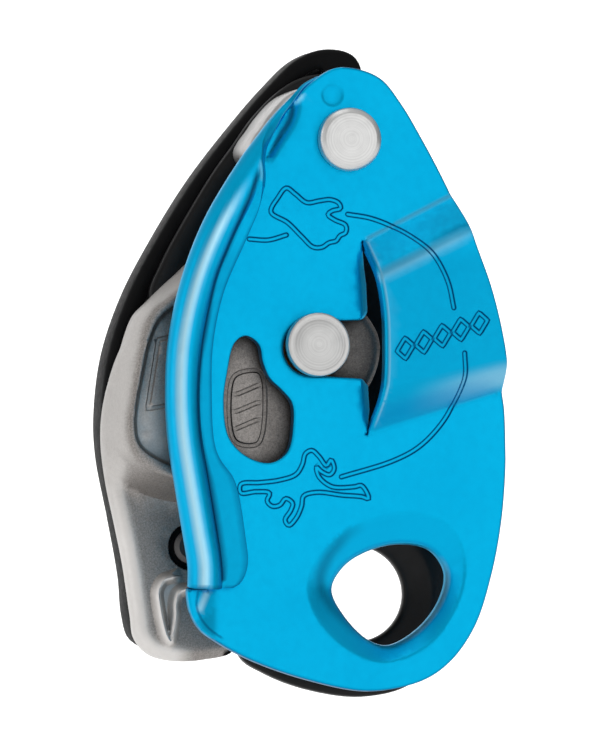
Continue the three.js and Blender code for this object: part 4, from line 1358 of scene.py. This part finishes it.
# from behind the wall the camera looks through it
look_through = paper.nodes.new("ShaderNodeMixShader")
paper.links.new(paper.nodes.new("ShaderNodeNewGeometry").outputs["Backfacing"], look_through.inputs["Fac"])
paper.links.new(paper.shader.outputs[0], look_through.inputs[1])
paper.links.new(paper.nodes.new("ShaderNodeBsdfTransparent").outputs[0], look_through.inputs[2])
paper.links.new(look_through.outputs[0], paper.nodes["Material Output"].inputs["Surface"])
dress(cove, paper)


def softbox(name, place, target, size, power, size_y=None):
    light = bpy.data.lights.new(name, "AREA")
    light.shape = "RECTANGLE"
    light.size = size
    light.size_y = size_y or size
    light.energy = power
    lamp = bpy.data.objects.new(name, light)
    lamp.location = place
    lamp.rotation_euler = (Vector(target) - Vector(place)).to_track_quat("-Z", "Y").to_euler()
    bpy.context.scene.collection.objects.link(lamp)


softbox("front_card", (0.4, -1.3, 0.08), (0, 0, 0), 1.4, 3.7)
softbox("top_card", (-0.2, -0.3, 1.3), (0, 0, 0), 0.8, 1.6)
softbox("left_card", (-1.3, -0.2, 0.15), (0, 0, 0), 0.7, 1.9, 1.1)
softbox("rim_left", (-1.1, 0.7, 0.1), (0, 0, 0), 0.5, 0.7, 1.1)
softbox("back_wash", (0.8, 2.5, 1.5), (0.8, 3.6, 0.2), 1.2, 16)

WORLD_LEVEL = 0.55
world = bpy.data.worlds.new("studio")
bpy.context.scene.world = world
world.use_nodes = True
world_nodes = world.node_tree.nodes
world_links = world.node_tree.links
sky = world_nodes.new("ShaderNodeTexCoord")
parts = world_nodes.new("ShaderNodeSeparateXYZ")
world_links.new(sky.outputs["Generated"], parts.inputs[0])


def dimmer(socket, start, end, least):
    """Full light up to a direction, then dimmer towards the end."""
    node = world_nodes.new("ShaderNodeMapRange")
    node.inputs["From Min"].default_value = start
    node.inputs["From Max"].default_value = end
    node.inputs["To Min"].default_value = 1
    node.inputs["To Max"].default_value = least
    world_links.new(parts.outputs[socket], node.inputs["Value"])
    return node.outputs["Result"]


def combined(operation, a, b):
    node = world_nodes.new("ShaderNodeMath")
    node.operation = operation
    world_links.new(a, node.inputs[0])
    if isinstance(b, float):
        node.inputs[1].default_value = b
    else:
        world_links.new(b, node.inputs[1])
    return node.outputs[0]


both = combined("MULTIPLY", dimmer("Z", 0.2, 0.9, 0.95), dimmer("X", 0.78, 0.97, 0.35))
# the camera sees the full white, the object only the dimmed one
by_camera = world_nodes.new("ShaderNodeLightPath").outputs["Is Camera Ray"]
seen = combined("MAXIMUM", by_camera, combined("MULTIPLY", both, WORLD_LEVEL))
world_links.new(seen, world_nodes["Background"].inputs["Strength"])
world_nodes["Background"].inputs["Color"].default_value = (1, 1, 1, 1)
bpy.context.scene.view_settings.view_transform = "Standard"

CAMERA_AZIMUTH = -12.5
CAMERA_ELEVATION = -3.0
CAMERA_DISTANCE = 3.0
target = Vector((-0.0025, PLATE_FRONT * MM, -0.0046))
azimuth = math.radians(CAMERA_AZIMUTH)
elevation = math.radians(CAMERA_ELEVATION)
direction = Vector(
    (math.sin(azimuth) * math.cos(elevation), -math.cos(azimuth) * math.cos(elevation), math.sin(elevation))
)
camera_data = bpy.data.cameras.new("camera")
camera_data.sensor_width = 36
camera_data.lens = 943
camera_data.clip_start = 0.01
camera = bpy.data.objects.new("camera", camera_data)
camera.location = target + CAMERA_DISTANCE * direction
camera.rotation_euler = (-direction).to_track_quat("-Z", "Y").to_euler()
bpy.context.scene.collection.objects.link(camera)
bpy.context.scene.camera = camera
